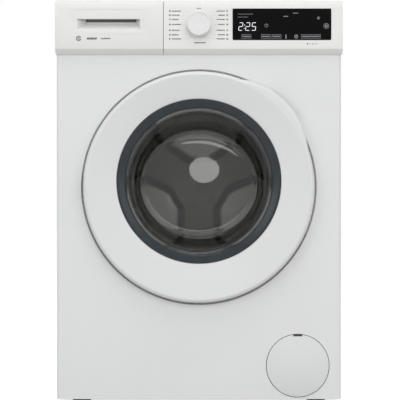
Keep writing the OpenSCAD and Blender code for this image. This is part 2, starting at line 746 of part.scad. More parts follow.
module hinge_bracket() color(steel) from_front() difference() {
    union() {
        block(hinge_x + 3, hinge_x + 14, dish_d - 2, dish_d, door_z - 32, door_z + 32);
        for (s = [-1, 1]) {
            block(hinge_x + 3, hinge_x + 12, hinge_y, dish_d, door_z + s * 26 - 3, door_z + s * 26 + 3);
            post(5, hinge_x, hinge_y, door_z + s * 26 - 3, door_z + s * 26 + 3);
        }
    }
    for (s = [-1, 1]) post(3 + fit_gap, hinge_x, hinge_y, door_z + s * 26 - 4, door_z + s * 26 + 4);
    for (s = [-1, 1]) disc(2.2, 0, 20, hinge_x + 8, door_z + s * 14);
}

// Steel arm that is screwed to the door and turns on the hinge pin.
module hinge_arm() color(steel) from_front() difference() {
    union() {
        for (s = [-1, 1]) post(4.6, hinge_x, hinge_y, door_z + s * 16 - 5, door_z + s * 16 + 5);
        block(hinge_x, hinge_x + 24, hinge_y - 1, hinge_y + 3, door_z - 21, door_z + 21);
        block(hinge_x + 18, hinge_x + 43, hinge_y - 1, hinge_y + 1, door_z - 29, door_z + 29);
    }
    post(3 + press_gap, hinge_x, hinge_y, door_z - 40, door_z + 40);
    for (s = [-1, 1]) disc(2.2, -20, 20, hinge_x + 37, door_z + s * 22);
}

press_gap = 0.02;

module door_pins() color(steel) from_front() {
    post(3, hinge_x, hinge_y, door_z - 29.5, door_z + 29.5);
    post(1.5, latch_x, latch_y, door_z - 27, door_z + 27);
}

latch_y = 1;

module door_hook() color(steel) from_front() difference() {
    union() {
        post(4, latch_x, latch_y, door_z - 7, door_z + 7);
        block(latch_x - 3, latch_x + 3, latch_y, dish_d + 20, door_z - 7, door_z + 7);
        block(latch_x - 6, latch_x + 3, dish_d + 13, dish_d + 20, door_z - 7, door_z + 7);
    }
    post(1.5 + fit_gap, latch_x, latch_y, door_z - 20, door_z + 20);
    block(latch_x - 8, latch_x - 1.5, dish_d + 9, dish_d + 13.5, door_z - 3, door_z + 3);
}

module door_lock() color(dark) from_front() difference() {
    block(latch_x - 13, latch_x + 19, dish_d + sheet_t, dish_d + 35, door_z - 32, door_z + 32);
    block(latch_x - 10, latch_x + 14, dish_d, dish_d + 29, door_z - 14, door_z + 14);
}

// ---- Filter ----

module filter_recess() color(plastic) from_front() difference() {
    union() {
        difference() {
            union() {
                // stepped rim behind the panel and the cover
                ring(cover_r + 7, cover_r + 0.8, sheet_t, 2.4, cover_x, cover_z);
                ring(cover_r + 2.2, cover_r + 0.8, sheet_t, 4.2, cover_x, cover_z);
                ring(cover_r + 2.2, cup_r, 2.8, 4.2, cover_x, cover_z);
                ring(cup_r + 2, cup_r, 2.8, cup_y, cover_x, cover_z);
                ring(cup_r + 1, pump_r + 0.5, cup_y - 2, cup_y, cover_x, cover_z);
            }
            // room for the flap's lower edge as it swings in
            block(cover_x - 46, cover_x + 46, -1, 9, 0, hinge_cover_z - 1);
            block(cover_x - 30, cover_x + 30, -1, 9, 0, hinge_cover_z + 2);
        }
        // ears with a half round seat for the flap's pin
        for (s = [-1, 1]) {
            block(cover_x + s * ear_x - 1.5, cover_x + s * ear_x + 1.5, hinge_cover_y, 16,
                hinge_cover_z - 1.1, hinge_cover_z + 2);
            block(cover_x + s * ear_x - 1.5, cover_x + s * ear_x + 1.5, 3, 16,
                hinge_cover_z - 1.1, cover_z - cup_r + 2);
        }
    }
    bar(hinge_pin_r + fit_gap, cover_x - 20, cover_x + 20, hinge_cover_y, hinge_cover_z);
    disc(cup_r - 1, -1, cup_y - 2, cover_x, cover_z);
}

cup_r = cover_r - 10;
ear_x = 13.5;
hinge_pin_r = 0.9;
// How far the filter cover stands in front of the panel
cover_out = 2.4;

// Round cover with a soft edge, a tool notch at its top and a pin across its foot.
module filter_cover() color("white") from_front() {
    difference() {
        turned([[0, -cover_out], [cover_r - 1.6, -cover_out], [cover_r - 0.4, -cover_out + 0.6],
            [cover_r, -cover_out + 1.8], [cover_r, 0.4], [0, 0.4]], cover_x, cover_z);
        block(cover_x - 9.5, cover_x + 9.5, -cover_out - 1, 3, cover_z + cover_r - 4,
            cover_z + cover_r + 1);
        for (s = [-1, 1])
            block(cover_x + s * ear_x - 2, cover_x + s * ear_x + 2, -cover_out + 0.8, 1,
                0, hinge_cover_z + 2.6);
    }
    bar(hinge_pin_r, cover_x - ear_x - 2.2, cover_x + ear_x + 2.2, hinge_cover_y, hinge_cover_z);
    ring(cup_r - 2, cup_r - 4, 0, 3, cover_x, cover_z);
}

module filter_cap() color([0.5, 0.52, 0.56]) from_front() difference() {
    union() {
        disc(pump_r - 1, cap_y, cap_y + 4.7, cover_x, cover_z);
        block(cover_x - 24, cover_x + 24, cap_y - 7, cap_y + 1, cover_z - 4, cover_z + 4);
        disc(pump_r - 3.5, cap_y + 4, cap_y + 14, cover_x, cover_z);
        ring(pump_r - 5, pump_r - 7, cap_y + 13, cap_y + 50, cover_x, cover_z);
    }
    for (a = [0:60:300]) rotate_y_at(cover_x, cover_z, a)
        block(-3, 3, cap_y + 20, cap_y + 44, 10, pump_r);
}

module rotate_y_at(x, z, a) translate([x, 0, z]) rotate([0, a, 0]) children();

module pump_housing() color(tub_grey) from_front() difference() {
    union() {
        disc(pump_r, cap_y + 5, pump_end, cover_x, cover_z);
        disc(pump_r - 2, pump_end - 1, pump_end + 22, cover_x, cover_z);
        disc(pump_r - 5, pump_end + 21, pump_end + 72, cover_x, cover_z);
        bar(13, cover_x - pump_r - 22, cover_x - pump_r + 8, 84, cover_z);
        post(8.2, cover_x, pump_end + 10, cover_z + 20, cover_z + 40);
        block(cover_x - 1, cover_x + 1, pump_end + 10, pump_end + 38, cover_z + 20, cover_z + 30);
        disc(11.5, pump_end + 10, pump_end + 40, cover_x, cover_z + 38);
    }
    disc(pump_r - 3, cap_y, pump_end - 4, cover_x, cover_z);
    disc(pump_r - 6, pump_end - 5, pump_end + 20, cover_x, cover_z);
    bar(10, cover_x - pump_r - 30, cover_x - pump_r + 10, 84, cover_z);
    post(5, cover_x, pump_end + 10, cover_z + 10, cover_z + 38);
    disc(2.5 + fit_gap, pump_end + 19, pump_end + 40, cover_x, cover_z);
}

module pump_impeller() color(dark) from_front() {
    disc(2.5, pump_end + 2, pump_end + 38, cover_x, cover_z);
    disc(6, pump_end, pump_end + 17, cover_x, cover_z);
    disc(pump_r - 8, pump_end + 15, pump_end + 17, cover_x, cover_z);
    for (a = [0:60:300]) rotate_y_at(cover_x, cover_z, a)
        block(-1, 1, pump_end, pump_end + 16, 4, pump_r - 8);
}

// ---- Gasket and tub ----

// Rubber bellows from the front panel's opening to the tub's mouth.
module gasket() color(rubber) from_front() turned([
    [aperture_r + 7, dish_d + 1.5], [aperture_r + 7, dish_d + 14], [aperture_r - 2, dish_d + 17],
    [gasket_lip_r + 6, dish_d + 22], [gasket_lip_r + 8, dish_d + 26], [mouth_r - 1, dish_d + 26],
    [mouth_r + 4.6, dish_d + 32], [mouth_r + 4.6, tub_front_y - 1], [mouth_r + 0.6, tub_front_y - 1],
    [mouth_r + 0.6, tub_front_y - 18], [mouth_r - 4.6, tub_front_y - 18],
    [mouth_r - 4.6, tub_front_y + 4], [mouth_r - 7, tub_front_y + 4],
    [mouth_r - 7, dish_d + 31], [gasket_lip_r + 3, dish_d + 29], [gasket_lip_r, dish_d + 22],
    [gasket_lip_r + 4, dish_d + 17], [aperture_r - 4, dish_d + 12], [aperture_r - 4, dish_d - 2],
    [aperture_r - 0.4, dish_d - 2], [aperture_r - 0.4, dish_d + 9], [aperture_r + 1.4, dish_d + 9],
    [aperture_r + 1.4, dish_d + 1.5]], 0, axis_z);

module tub_ribs(y0, y1, r0, r1, count) for (i = [0:count - 1])
    rotate_y_at(0, axis_z, i * 360 / count) block(-1.5, 1.5, y0, y1, r0, r1);

module tub_front() color(tub_grey) from_front() difference() {
    union() {
        turned([[tub_r, tub_front_y], [tub_r, tub_split_y - 4], [flange_r, tub_split_y - 4],
            [flange_r, tub_split_y], [tub_in, tub_split_y], [tub_in, tub_front_y + tub_wall],
            [mouth_r - tub_wall, tub_front_y + tub_wall], [mouth_r - tub_wall, tub_front_y - 17],
            [mouth_r, tub_front_y - 17], [mouth_r, tub_front_y]], 0, axis_z);
        difference() {
            union() {
                both_sides() block(damper_x - 14, damper_x + 14, damper_y - 13, damper_y + 13,
                    damper_top, damper_top + 40);
                block(20, 96, 100, 180, axis_z - tub_r - 14, axis_z - tub_r + 20);
                post(16, bellows_x, bellows_y, axis_z + 200, housing_z - 22);
            }
            disc(tub_in + 1, tub_front_y, tub_split_y + 10, 0, axis_z);
        }
        post(13, 58, 140, axis_z - tub_r - 26, axis_z - tub_r - 12);
    }
    block(-heater_w, heater_w, tub_front_y - 1, tub_front_y + tub_wall + 1,
        heater_z - 5.5, heater_z + 5.5);
    post(10, 58, 140, axis_z - tub_r - 30, axis_z - tub_r + 30);
    post(13, bellows_x, bellows_y, axis_z + 200, housing_z);
}

module tub_rear() color(tub_grey) from_front() difference() {
    union() {
        turned([[flange_r, tub_split_y], [flange_r, tub_split_y + 4], [tub_r, tub_split_y + 4],
            [tub_r, tub_back_y], [hub_r, tub_back_y], [hub_r, hub_end], [5, hub_end],
            [5, tub_back_y - tub_wall], [tub_in, tub_back_y - tub_wall], [tub_in, tub_split_y]],
            0, axis_z);
        tub_ribs(tub_back_y - 1, tub_back_y + 22, hub_r - 2, tub_r - 4, 12);
        ring(tub_r - 60, tub_r - 63, tub_back_y - 1, tub_back_y + 22, 0, axis_z);
        ring(tub_r - 130, tub_r - 133, tub_back_y - 1, tub_back_y + 22, 0, axis_z);
        difference() {
            union() {
                both_sides() block(lug_x - 8, lug_x + 8, motor_y + 8, motor_end - 18,
                    motor_z + 50, axis_z - 200);
                both_sides() block(spring_x - 9, spring_x + 9, spring_y - 7, spring_y + 7,
                    spring_low - 60, spring_low + 10);
            }
            disc(tub_in + 1, tub_split_y - 1, tub_back_y, 0, axis_z);
        }
    }
    disc(shaft_r + 5 + press_gap, tub_back_y - 10, bearing_y, 0, axis_z);
    disc(bearing_r + press_gap, bearing_y, bearing_y + 16, 0, axis_z);
    disc(bearing_r - 6, bearing_y + 15, rear_bearing_y + 1, 0, axis_z);
    disc(bearing_r - 5 + press_gap, rear_bearing_y, rear_bearing_y + 15, 0, axis_z);
    disc(shaft_rear_r + 4, rear_bearing_y, hub_end + 1, 0, axis_z);
    both_sides() bar(3, spring_x - 20, spring_x + 20, spring_y, spring_low + 4);
}

heater_z = axis_z - tub_r + 10.5;
heater_w = 24;

// Weights above and below the mouth, each an arc of concrete.
module front_counterweights() color([0.55, 0.55, 0.53]) from_front() difference() {
    ring(tub_r - 10, mouth_r + 20, tub_front_y - 26, tub_front_y, 0, axis_z);
    block(-300, 300, 0, 100, axis_z - 78, axis_z + 78);
    block(-36, 36, 0, 100, axis_z - tub_r, axis_z - tub_r + 40);
}

module top_counterweight() color([0.55, 0.55, 0.53]) from_front() difference() {
    block(split_x + 10, 170, 110, 240, axis_z + 210, rail_z - 24);
    disc(tub_r + 0.2, 0, 300, 0, axis_z);
    for (x = [-30, 140]) post(9, x, 175, rail_z - 40, rail_z);
}

module heater() color(steel) from_front() {
    for (x = [-18, 18]) {
        disc(3.5, tub_front_y - 12, 400, x, heater_z);
    }
    translate([0, 400, heater_z]) rotate_extrude(angle = 180) translate([18, 0]) circle(3.5, $fn = 32);
    block(-heater_w + 0.3, heater_w - 0.3, tub_front_y - 4, tub_front_y + tub_wall - 0.5,
        heater_z - 5.2, heater_z + 5.2);
    block(-heater_w - 2, heater_w + 2, tub_front_y - 5, tub_front_y, heater_z - 8, heater_z + 8);
    disc(2, tub_front_y - 20, tub_front_y - 4, 0, heater_z);
}

// Two ball bearings, each with its rings and balls.
module bearing(r, r_in, y0, w) {
    ring(r, r - (r - r_in) * 0.28, y0, y0 + w, 0, axis_z);
    ring(r_in + (r - r_in) * 0.28, r_in, y0, y0 + w, 0, axis_z);
    ring(r - (r - r_in) * 0.25, r_in + (r - r_in) * 0.25, y0 + 1, y0 + w - 1, 0, axis_z);
}

module drum_bearings() color(steel) from_front() {
    bearing(bearing_r, shaft_r + fit_gap, bearing_y, 16);
    bearing(bearing_r - 5, shaft_rear_r + fit_gap, rear_bearing_y, 15);
}

module shaft_seal() color(dark) from_front()
    turned([[shaft_r + 5, tub_back_y - tub_wall], [shaft_r + 5, bearing_y - 0.2],
        [shaft_r + 0.2, bearing_y - 0.2], [shaft_r + 0.2, bearing_y - 2],
        [shaft_r + 3, bearing_y - 3], [shaft_r + 0.2, seal_y + 3],
        [shaft_r + 0.2, tub_back_y - tub_wall]], 0, axis_z);

module motor_housing() color(dark) from_front() difference() {
    union() {
        disc(motor_r, motor_y, motor_end - 8, 0, motor_z);
        disc(motor_r - 12, motor_y - 10, motor_end, 0, motor_z);
        both_sides() block(30, lug_x + 8, motor_y + 10, motor_end - 20, motor_z + 36, motor_z + 50);
    }
    disc(motor_r - 6, motor_y + 4, motor_end - 14, 0, motor_z);
    disc(8 + fit_gap, motor_y - 6, motor_end + 1, 0, motor_z);
    for (i = [0:9]) rotate_y_at(0, motor_z, i * 36)
        block(-4, 4, motor_y + 20, motor_y + 60, motor_r - 10, motor_r + 5);
}

module motor_rotor() color(steel) from_front() {
    disc(8, motor_y - 4, pulley_y + pulley_w + 2, 0, motor_z);
    disc(motor_r - 10, motor_y + 12, motor_end - 22, 0, motor_z);
    turned([[8, pulley_y], [motor_pulley_r + 2, pulley_y], [motor_pulley_r, pulley_y + 1.5],
        [motor_pulley_r, pulley_y + pulley_w - 1.5], [motor_pulley_r + 2, pulley_y + pulley_w],
        [8, pulley_y + pulley_w]], 0, motor_z);
}

// Outline round both pulleys, moved outwards by t, with the big one at the origin.
module belt_outline(t) hull() {
    circle(pulley_r + t, $fn = 128);
    translate([0, motor_z - axis_z]) circle(motor_pulley_r + t, $fn = 32);
}

module drive_belt() color("black") from_front()
    translate([0, pulley_y + 2 + belt_w, axis_z]) rotate([90, 0, 0]) linear_extrude(belt_w)
        difference() {
            belt_outline(0.2 + belt_t);
            belt_outline(0.2);
        }

wire_r = 1.6;

function spring_point(i, steps) = let (
    t = i / steps, coil = spring_r - wire_r, a = 360 * spring_turns * t,
    r = coil * min(1, 12 * t, 12 * (1 - t)))
    [r * cos(a), r * sin(a), spring_low + 12 + (rail_z - 12 - spring_low - 12) * t];

module spring_at(x) translate([x, spring_y, 0]) sweep(concat(
    [[0, 0, spring_low + 10.2]], [for (i = [0:spring_turns * 12]) spring_point(i, spring_turns * 12)],
    [[0, 0, rail_z - 8], [0, 0, rail_z + 3]]), wire_r, 6);

module springs() color(steel) from_front() for (x = [-spring_x, spring_x]) spring_at(x);

module damper_cylinders() color(dark) from_front() both_sides() difference() {
    post(damper_r, damper_x, damper_y, damper_pad, damper_top - 50);
    post(rod_r + 0.3, damper_x, damper_y, damper_pad + 25, damper_top);
}

module damper_rods() color(steel) from_front() both_sides() {
    post(rod_r, damper_x, damper_y, damper_pad + 45, damper_top);
    post(rod_r + 3, damper_x, damper_y, damper_top - 12, damper_top);
}

// Corrugated hose from the tub's sump to the pump.
module sump_hose() color("black") from_front()
    hose([[58, 140, axis_z - tub_r - 26.2], [58, 140, axis_z - tub_r - 33],
        [58, 140, axis_z - tub_r - 46], [66, 130, axis_z - tub_r - 72], [90, 100, cover_z + 4],
        [cover_x - pump_r - 56, 84, cover_z], [cover_x - pump_r - 36, 84, cover_z],
        [cover_x - pump_r - 22.3, 84, cover_z]], 13, 10.5);

module dispenser_bellows() color("black") from_front() difference() {
    union() {
        post(19, bellows_x, bellows_y, housing_z - 20, housing_z - 6);
        for (i = [0:2]) post(21, bellows_x, bellows_y, housing_z - 19 + i * 5, housing_z - 16.5 + i * 5);
    }
    post(16.3, bellows_x, bellows_y, housing_z - 30, housing_z);
}

// ---- Drum ----

module drum_shell() color(steel) from_front() difference() {
    turned([[drum_r, drum_front_y + 12], [drum_r, drum_back_y], [drum_r - drum_t, drum_back_y],
        [drum_r - drum_t, drum_front_y + 12.5], [drum_r - 12.5, drum_front_y + drum_t],
        [drum_mouth_r + 8, drum_front_y + drum_t], [drum_mouth_r + 4, drum_front_y + 6],
        [drum_mouth_r, drum_front_y + 6], [drum_mouth_r, drum_front_y + 2],
        [drum_mouth_r + 5, drum_front_y], [drum_r - 12, drum_front_y]], 0, axis_z);
    for (k = [0:hole_rings - 1], i = [0:hole_count - 1])
        translate([0, drum_front_y + 50 + k * 60, axis_z])
            rotate([0, (i + (k % 2) / 2 + 0.25) * 360 / hole_count, 0])
                translate([0, 0, drum_r - 6]) cylinder(r = hole_r, h = 12, $fn = 16);
}

// Disc with three raised fields between the spider's arms.
module drum_back() color(steel) from_front() difference() {
    union() {
        disc(drum_r - drum_t, drum_back_y - 2, drum_back_y, 0, axis_z);
        difference() {
            disc(drum_r - 30, drum_back_y - 8, drum_back_y - 1, 0, axis_z);
            disc(58, drum_back_y - 10, drum_back_y, 0, axis_z);
            for (a = [0:120:240]) rotate_y_at(0, axis_z, a + 180)
                block(-26, 26, drum_back_y - 10, drum_back_y, 0, drum_r);
        }
    }
    difference() {
        disc(drum_r - 31, drum_back_y - 7, drum_back_y + 1, 0, axis_z);
        disc(59, drum_back_y - 10, drum_back_y + 2, 0, axis_z);
        for (a = [0:120:240]) rotate_y_at(0, axis_z, a + 180)
            block(-27, 27, drum_back_y - 10, drum_back_y + 2, 0, drum_r);
    }
}

module drum_spider() color([0.6, 0.61, 0.62]) from_front() {
    disc(36, drum_back_y, drum_back_y + 15, 0, axis_z);
    for (a = [0:120:240]) rotate_y_at(0, axis_z, a + 180) {
        block(-20, 20, drum_back_y, drum_back_y + 8, 0, drum_r - 6);
        block(-4, 4, drum_back_y, drum_back_y + 15, 0, drum_r - 20);
    }
    disc(shaft_r, drum_back_y, rear_bearing_y - 2, 0, axis_z);
    disc(shaft_rear_r, rear_bearing_y - 3, pulley_y + pulley_w - 2, 0, axis_z);
}

// Hollow paddles on the drum's wall.
module drum_lifters() color(tub_grey) from_front() for (a = [60:120:300])
    translate([0, drum_front_y + 30, axis_z]) rotate([0, a, 0]) intersection() {
        rotate([-90, 0, 0]) cylinder(r = drum_r - drum_t - 0.1, h = drum_back_y - drum_front_y - 50);
        translate([0, 0, drum_r - 62]) rotate([-90, 0, 0])
            linear_extrude(drum_back_y - drum_front_y - 50)
                polygon([[-14, 0], [-10, 4], [10, 4], [14, 0], [34, -64], [-34, -64]]);
    }

module drum_pulley() color([0.7, 0.71, 0.72]) from_front() difference() {
    union() {
        ring(pulley_r, pulley_r - 9, pulley_y, pulley_y + pulley_w, 0, axis_z);
        disc(24, pulley_y, pulley_y + pulley_w, 0, axis_z);
        disc(pulley_r - 5, pulley_y + 5, pulley_y + 9, 0, axis_z);
        disc(17, pulley_y + pulley_w - 1.5, pulley_y + pulley_w + 2, 0, axis_z);
        disc(9, pulley_y + pulley_w, pulley_y + pulley_w + 8, 0, axis_z);
    }
    disc(shaft_rear_r + press_gap, pulley_y - 1, pulley_y + pulley_w - 1.9, 0, axis_z);
    for (a = [0:60:300]) rotate_y_at(0, axis_z, a) disc(32, pulley_y - 1, pulley_y + pulley_w + 1, 0, 86);
}

// ---- Feet and screws ----

module foot(x, y) color(dark) from_front() {
    post(foot_r, x, y, 0, 3);
    post(foot_r - 5, x, y, 2, 4.4);
    post(stud_r, x, y, 3, floor_z + 32);
}

module foot_front_left() foot(-foot_x, foot_front_y);

module foot_front_right() foot(foot_x, foot_front_y);

module foot_rear_left() foot(-foot_x, foot_rear_y);

module foot_rear_right() foot(foot_x, foot_rear_y);

module foot_locknuts() color(steel) from_front()
    for (x = [-foot_x, foot_x], y = [foot_front_y, foot_rear_y]) difference() {
        translate([x, y, 4.9]) cylinder(r = 9.5, h = base_z + sheet_t - 4.9, $fn = 6);
        post(stud_r + fit_gap, x, y, 0, 20);
    }

// Moves the screws at the cover's corners in, so that they stay on its rounded corner.
function screw_reach(a) = a % 90 == 0 ? 1 : 1.3;

// Places of the rear screws, each as [x, height, depth of the face under its head].
rear_screws = concat(
    [for (x = [-1, 1], i = [0:4]) [x * (half_w - 10), 90 + i * (top_z - 180) / 4, cabinet_d]],
    [for (a = [0:45:315]) [cos(a) * (service_w / 2 + 6) * screw_reach(a),
        service_z + sin(a) * (service_h / 2 + 6) * screw_reach(a), cabinet_d + sheet_t]]);
screw_r = 1.6;

module screw_holes() for (s = rear_screws)
    disc(screw_r + fit_gap, s[2] - 7, s[2] + 1, s[0], s[1]);

// Pan head screws of the rear panel and the service cover.
module cabinet_screws() color(steel) from_front() for (s = rear_screws) {
    disc(4, s[2], s[2] + 2.4, s[0], s[1]);
    disc(screw_r, s[2] - 6, s[2] + 1, s[0], s[1]);
}

side_panel_left();
side_panel_right();
rear_panel();
service_cover();
front_panel();
base_pan();
worktop();
spring_rail();
control_panel();
display_window();
control_board();
dispenser_housing();
inlet_valve();
internal_hoses();
hinge_bracket();
door_lock();
gasket();
damper_cylinders();
pump_housing();
filter_recess();
foot_locknuts();
cabinet_screws();
mains_inlet();
door_front_frame();
door_trim_ring();
door_inner_frame();
door_glass();
hinge_arm();
door_pins();
door_hook();
drawer_front();
drawer_tray();
siphon_cap();
control_knob();
filter_cover();
filter_cap();
tub_front();
tub_rear();
front_counterweights();
top_counterweight();
heater();
drum_bearings();
shaft_seal();
motor_housing();
drive_belt();
springs();
damper_rods();
sump_hose();
dispenser_bellows();
drum_shell();
drum_back();
drum_spider();
drum_lifters();
drum_pulley();
motor_rotor();
pump_impeller();
foot_front_left();
foot_front_right();
foot_rear_left();
foot_rear_right();
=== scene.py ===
# %% [markdown]
# # A front loading washing machine, dressed in Blender
# The frame below is the finished CAD part: sixty pieces, already in place and joined by
# hinges and slides. This lesson gives every piece its finish and adds what solids show
# poorly: soft pressed edges, the glass bowl, the folded rubber gasket, the printed marks
# and the lit display. X runs to the right, Y into the machine and Z up from the floor.
# Blender works in metres; sizes that a maker would give in millimetres stay in those.

# %% Load the frame
import math
import random

import bmesh
import bpy
from mathutils import Matrix, Vector


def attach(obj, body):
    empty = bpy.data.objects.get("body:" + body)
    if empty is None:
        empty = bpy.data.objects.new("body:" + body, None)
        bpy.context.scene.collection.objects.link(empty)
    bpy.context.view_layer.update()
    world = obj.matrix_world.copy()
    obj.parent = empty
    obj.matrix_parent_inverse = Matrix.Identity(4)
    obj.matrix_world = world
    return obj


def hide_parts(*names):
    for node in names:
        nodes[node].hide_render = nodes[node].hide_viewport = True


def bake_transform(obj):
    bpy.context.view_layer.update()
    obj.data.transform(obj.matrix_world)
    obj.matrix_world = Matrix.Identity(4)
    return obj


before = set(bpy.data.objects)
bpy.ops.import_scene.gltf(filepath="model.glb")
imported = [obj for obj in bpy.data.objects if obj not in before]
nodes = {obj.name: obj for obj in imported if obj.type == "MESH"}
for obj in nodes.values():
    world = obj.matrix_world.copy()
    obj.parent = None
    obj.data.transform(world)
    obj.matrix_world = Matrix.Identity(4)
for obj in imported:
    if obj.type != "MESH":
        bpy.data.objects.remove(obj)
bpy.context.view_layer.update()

bpy.ops.object.select_all(action="DESELECT")

# %% [markdown]
# ## Places and sizes
# Depths are easiest to read from the face of the front panel, which is where a fitter
# would measure them; what stands in front of it has a negative depth. The few sizes
# here are the ones that several pieces share.

# %% Shared sizes
MM = 0.001
PANEL_Y = -0.278          # face of the front panel
AXIS_Z = 0.460            # axis of the drum
DOOR_Z = 0.454            # middle of the door
WINDOW_Z = 0.466          # middle of the window
KNOB_Z = 0.793            # middle of the programme knob
DOOR_R = 241.0            # radius of the door, in millimetres
WINDOW_R = 172            # radius of the window, in millimetres
FASCIA_D = -14            # depth of the fascia's face, in millimetres
BOWL_DEPTH = 118.0        # how far the glass bowl reaches in, in millimetres


def depth(mm):
    """Y of a place that lies so many millimetres behind the front panel's face."""
    return PANEL_Y + mm * MM


print("front of the fascia at", depth(FASCIA_D), "end of the glass bowl at", depth(BOWL_DEPTH))

# %% [markdown]
# ## Camera
# A product view is taken straight on, from a few metres away, so that the cabinet shows
# no sides. A long lens at that distance keeps the outline square. The film is 36 mm wide
# and the frame is to take in 838 mm at the front panel, which gives the focal length.

# %% Camera
VIEW_DISTANCE = 2.5
VIEW_WIDTH = 0.838
SENSOR = 36.0
EYE_Z = 0.427

camera_data = bpy.data.cameras.new("front_camera")
camera_data.sensor_width = SENSOR
camera_data.lens = SENSOR * VIEW_DISTANCE / VIEW_WIDTH
camera_data.clip_end = 50
camera = bpy.data.objects.new("front_camera", camera_data)
camera.location = (0.0023, PANEL_Y - VIEW_DISTANCE, EYE_Z)
camera.rotation_euler = (math.radians(90), 0, 0)
bpy.context.scene.collection.objects.link(camera)
bpy.context.scene.camera = camera
print("lens:", round(camera_data.lens, 1), "mm")

# %% [markdown]
# ## Background and floor
# The room is white where the camera, a mirror or the glass looks at it, and a calm grey
# where it lights the machine. The Light Path node tells these rays apart, so the white
# behind the machine adds no light. The floor works the same way: part of its brightness
# is its own for those rays only, and the rest is real shading, which keeps the shadow.

# %% Shader nodes and the rays that see the room


def set_inputs(node, **values):
    """Sets inputs of a node by name, with _ in the place of a space."""
    for name, value in values.items():
        node.inputs[name.replace("_", " ")].default_value = value


def add_node(tree, kind, **values):
    """Adds a shader node and sets some of its inputs."""
    node = tree.nodes.new("ShaderNode" + kind)
    set_inputs(node, **values)
    return node


def seen_ray(tree):
    """A value that is 1 for rays from the camera, in reflections and through glass."""
    path = add_node(tree, "LightPath")
    seen = path.outputs["Is Camera Ray"]
    for ray in ("Is Glossy Ray", "Is Transmission Ray"):
        either = add_node(tree, "Math")
        either.operation = "MAXIMUM"
        tree.links.new(seen, either.inputs[0])
        tree.links.new(path.outputs[ray], either.inputs[1])
        seen = either.outputs[0]
    return seen


print("ray test ready")

# %% Background
WHITE = (1, 1, 1, 1)
SKY_LIGHT = 0.55

world = bpy.data.worlds.new("studio")
bpy.context.scene.world = world
world.use_nodes = True
sky = world.node_tree
sky.nodes.clear()
light_sky = add_node(sky, "Background", Color=WHITE, Strength=SKY_LIGHT)
seen_sky = add_node(sky, "Background", Color=WHITE, Strength=1.0)
sky_mix = add_node(sky, "MixShader")
sky_out = add_node(sky, "OutputWorld")
sky.links.new(seen_ray(sky), sky_mix.inputs[0])
sky.links.new(light_sky.outputs[0], sky_mix.inputs[1])
sky.links.new(seen_sky.outputs[0], sky_mix.inputs[2])
sky.links.new(sky_mix.outputs[0], sky_out.inputs["Surface"])
print("sky lights at", SKY_LIGHT)

# %% Floor
FLOOR_GREY = 0.62
FLOOR_OWN = 0.68          # brightness of its own, for the rays that see it

bpy.ops.mesh.primitive_plane_add(size=24, location=(0, 0, 0))
floor = bpy.context.object
floor.name = "floor"
floor_finish = bpy.data.materials.new("pale_floor")
floor_finish.use_nodes = True
ground = floor_finish.node_tree
ground.nodes.clear()
matt = add_node(ground, "BsdfDiffuse", Color=(FLOOR_GREY, FLOOR_GREY, FLOOR_GREY, 1))
own = add_node(ground, "Emission")
own_level = add_node(ground, "Math")
own_level.operation = "MULTIPLY"
own_level.inputs[1].default_value = FLOOR_OWN
floor_sum = add_node(ground, "AddShader")
floor_out = add_node(ground, "OutputMaterial")
ground.links.new(seen_ray(ground), own_level.inputs[0])
ground.links.new(own_level.outputs[0], own.inputs["Strength"])
ground.links.new(matt.outputs[0], floor_sum.inputs[0])
ground.links.new(own.outputs[0], floor_sum.inputs[1])
ground.links.new(floor_sum.outputs[0], floor_out.inputs["Surface"])
floor.data.materials.append(floor_finish)
print("floor ready")

# %% [markdown]
# ## Lamps
# Soft boxes stand left and right in front of the machine, a fill hangs before it, and
# two more light the top and the back. They are big and far, so edges show as gentle
# changes of tone and the white enamel stays a little below full white. The fill hides
# from reflections. A small round lamp just above the lens does the opposite: it adds
# almost no light, and shows as the pale disc that such a lamp leaves in the window.

# %% Lamps


def soft_box(name, place, aim, size, watts):
    """Adds one large area lamp that looks at a point."""
    data = bpy.data.lights.new(name, "AREA")
    data.shape = "RECTANGLE"
    data.size, data.size_y = size
    data.energy = watts
    lamp = bpy.data.objects.new(name, data)
    lamp.location = place
    lamp.rotation_euler = (Vector(aim) - Vector(place)).to_track_quat("-Z", "Y").to_euler()
    bpy.context.scene.collection.objects.link(lamp)
    return lamp


soft_box("lamp_left", (-2.6, -3.0, 1.7), (0, 0, 0.45), (1.4, 2.0), 20)
soft_box("lamp_right", (2.6, -3.2, 1.5), (0, 0, 0.45), (1.4, 2.0), 14)
fill = soft_box("lamp_front", (0.5, -3.9, 2.3), (0, 0, 0.45), (2.0, 1.6), 36)
fill.visible_glossy = False
spark_place = (0.032, PANEL_Y - VIEW_DISTANCE, 0.606)
spark = soft_box("lamp_spark", spark_place, (0, 0, 0.5), (0.20, 0.19), 0.42)
spark.data.shape = "ELLIPSE"
soft_box("lamp_top", (0.0, -1.4, 3.4), (0, 0, 0.4), (2.4, 1.6), 22)
soft_box("lamp_back", (0.6, 3.2, 2.2), (0, 0, 0.5), (2.4, 1.6), 34)
bpy.context.scene.view_settings.view_transform = "Standard"

# %% [markdown]
# ## Finishes
# Every finish starts from the Principled shader. What makes it look real is small: the
# orange peel of baked enamel, the grain of a mould, the rolling lines of sheet steel.
# Those come from noise read on Object coordinates, so they stay on the piece when it
# moves. Colours that are the same all over are set on the shader itself.

# %% Building blocks of a finish


def new_finish(name, colour, rough, metal=0.0):
    """A Principled material and the parts that later lines need."""
    mat = bpy.data.materials.new(name)
    mat.use_nodes = True
    tree = mat.node_tree
    shader = tree.nodes["Principled BSDF"]
    set_inputs(shader, Base_Color=(*colour, 1), Roughness=rough, Metallic=metal)
    place = add_node(tree, "TexCoord").outputs["Object"]
    return mat, tree, shader, place


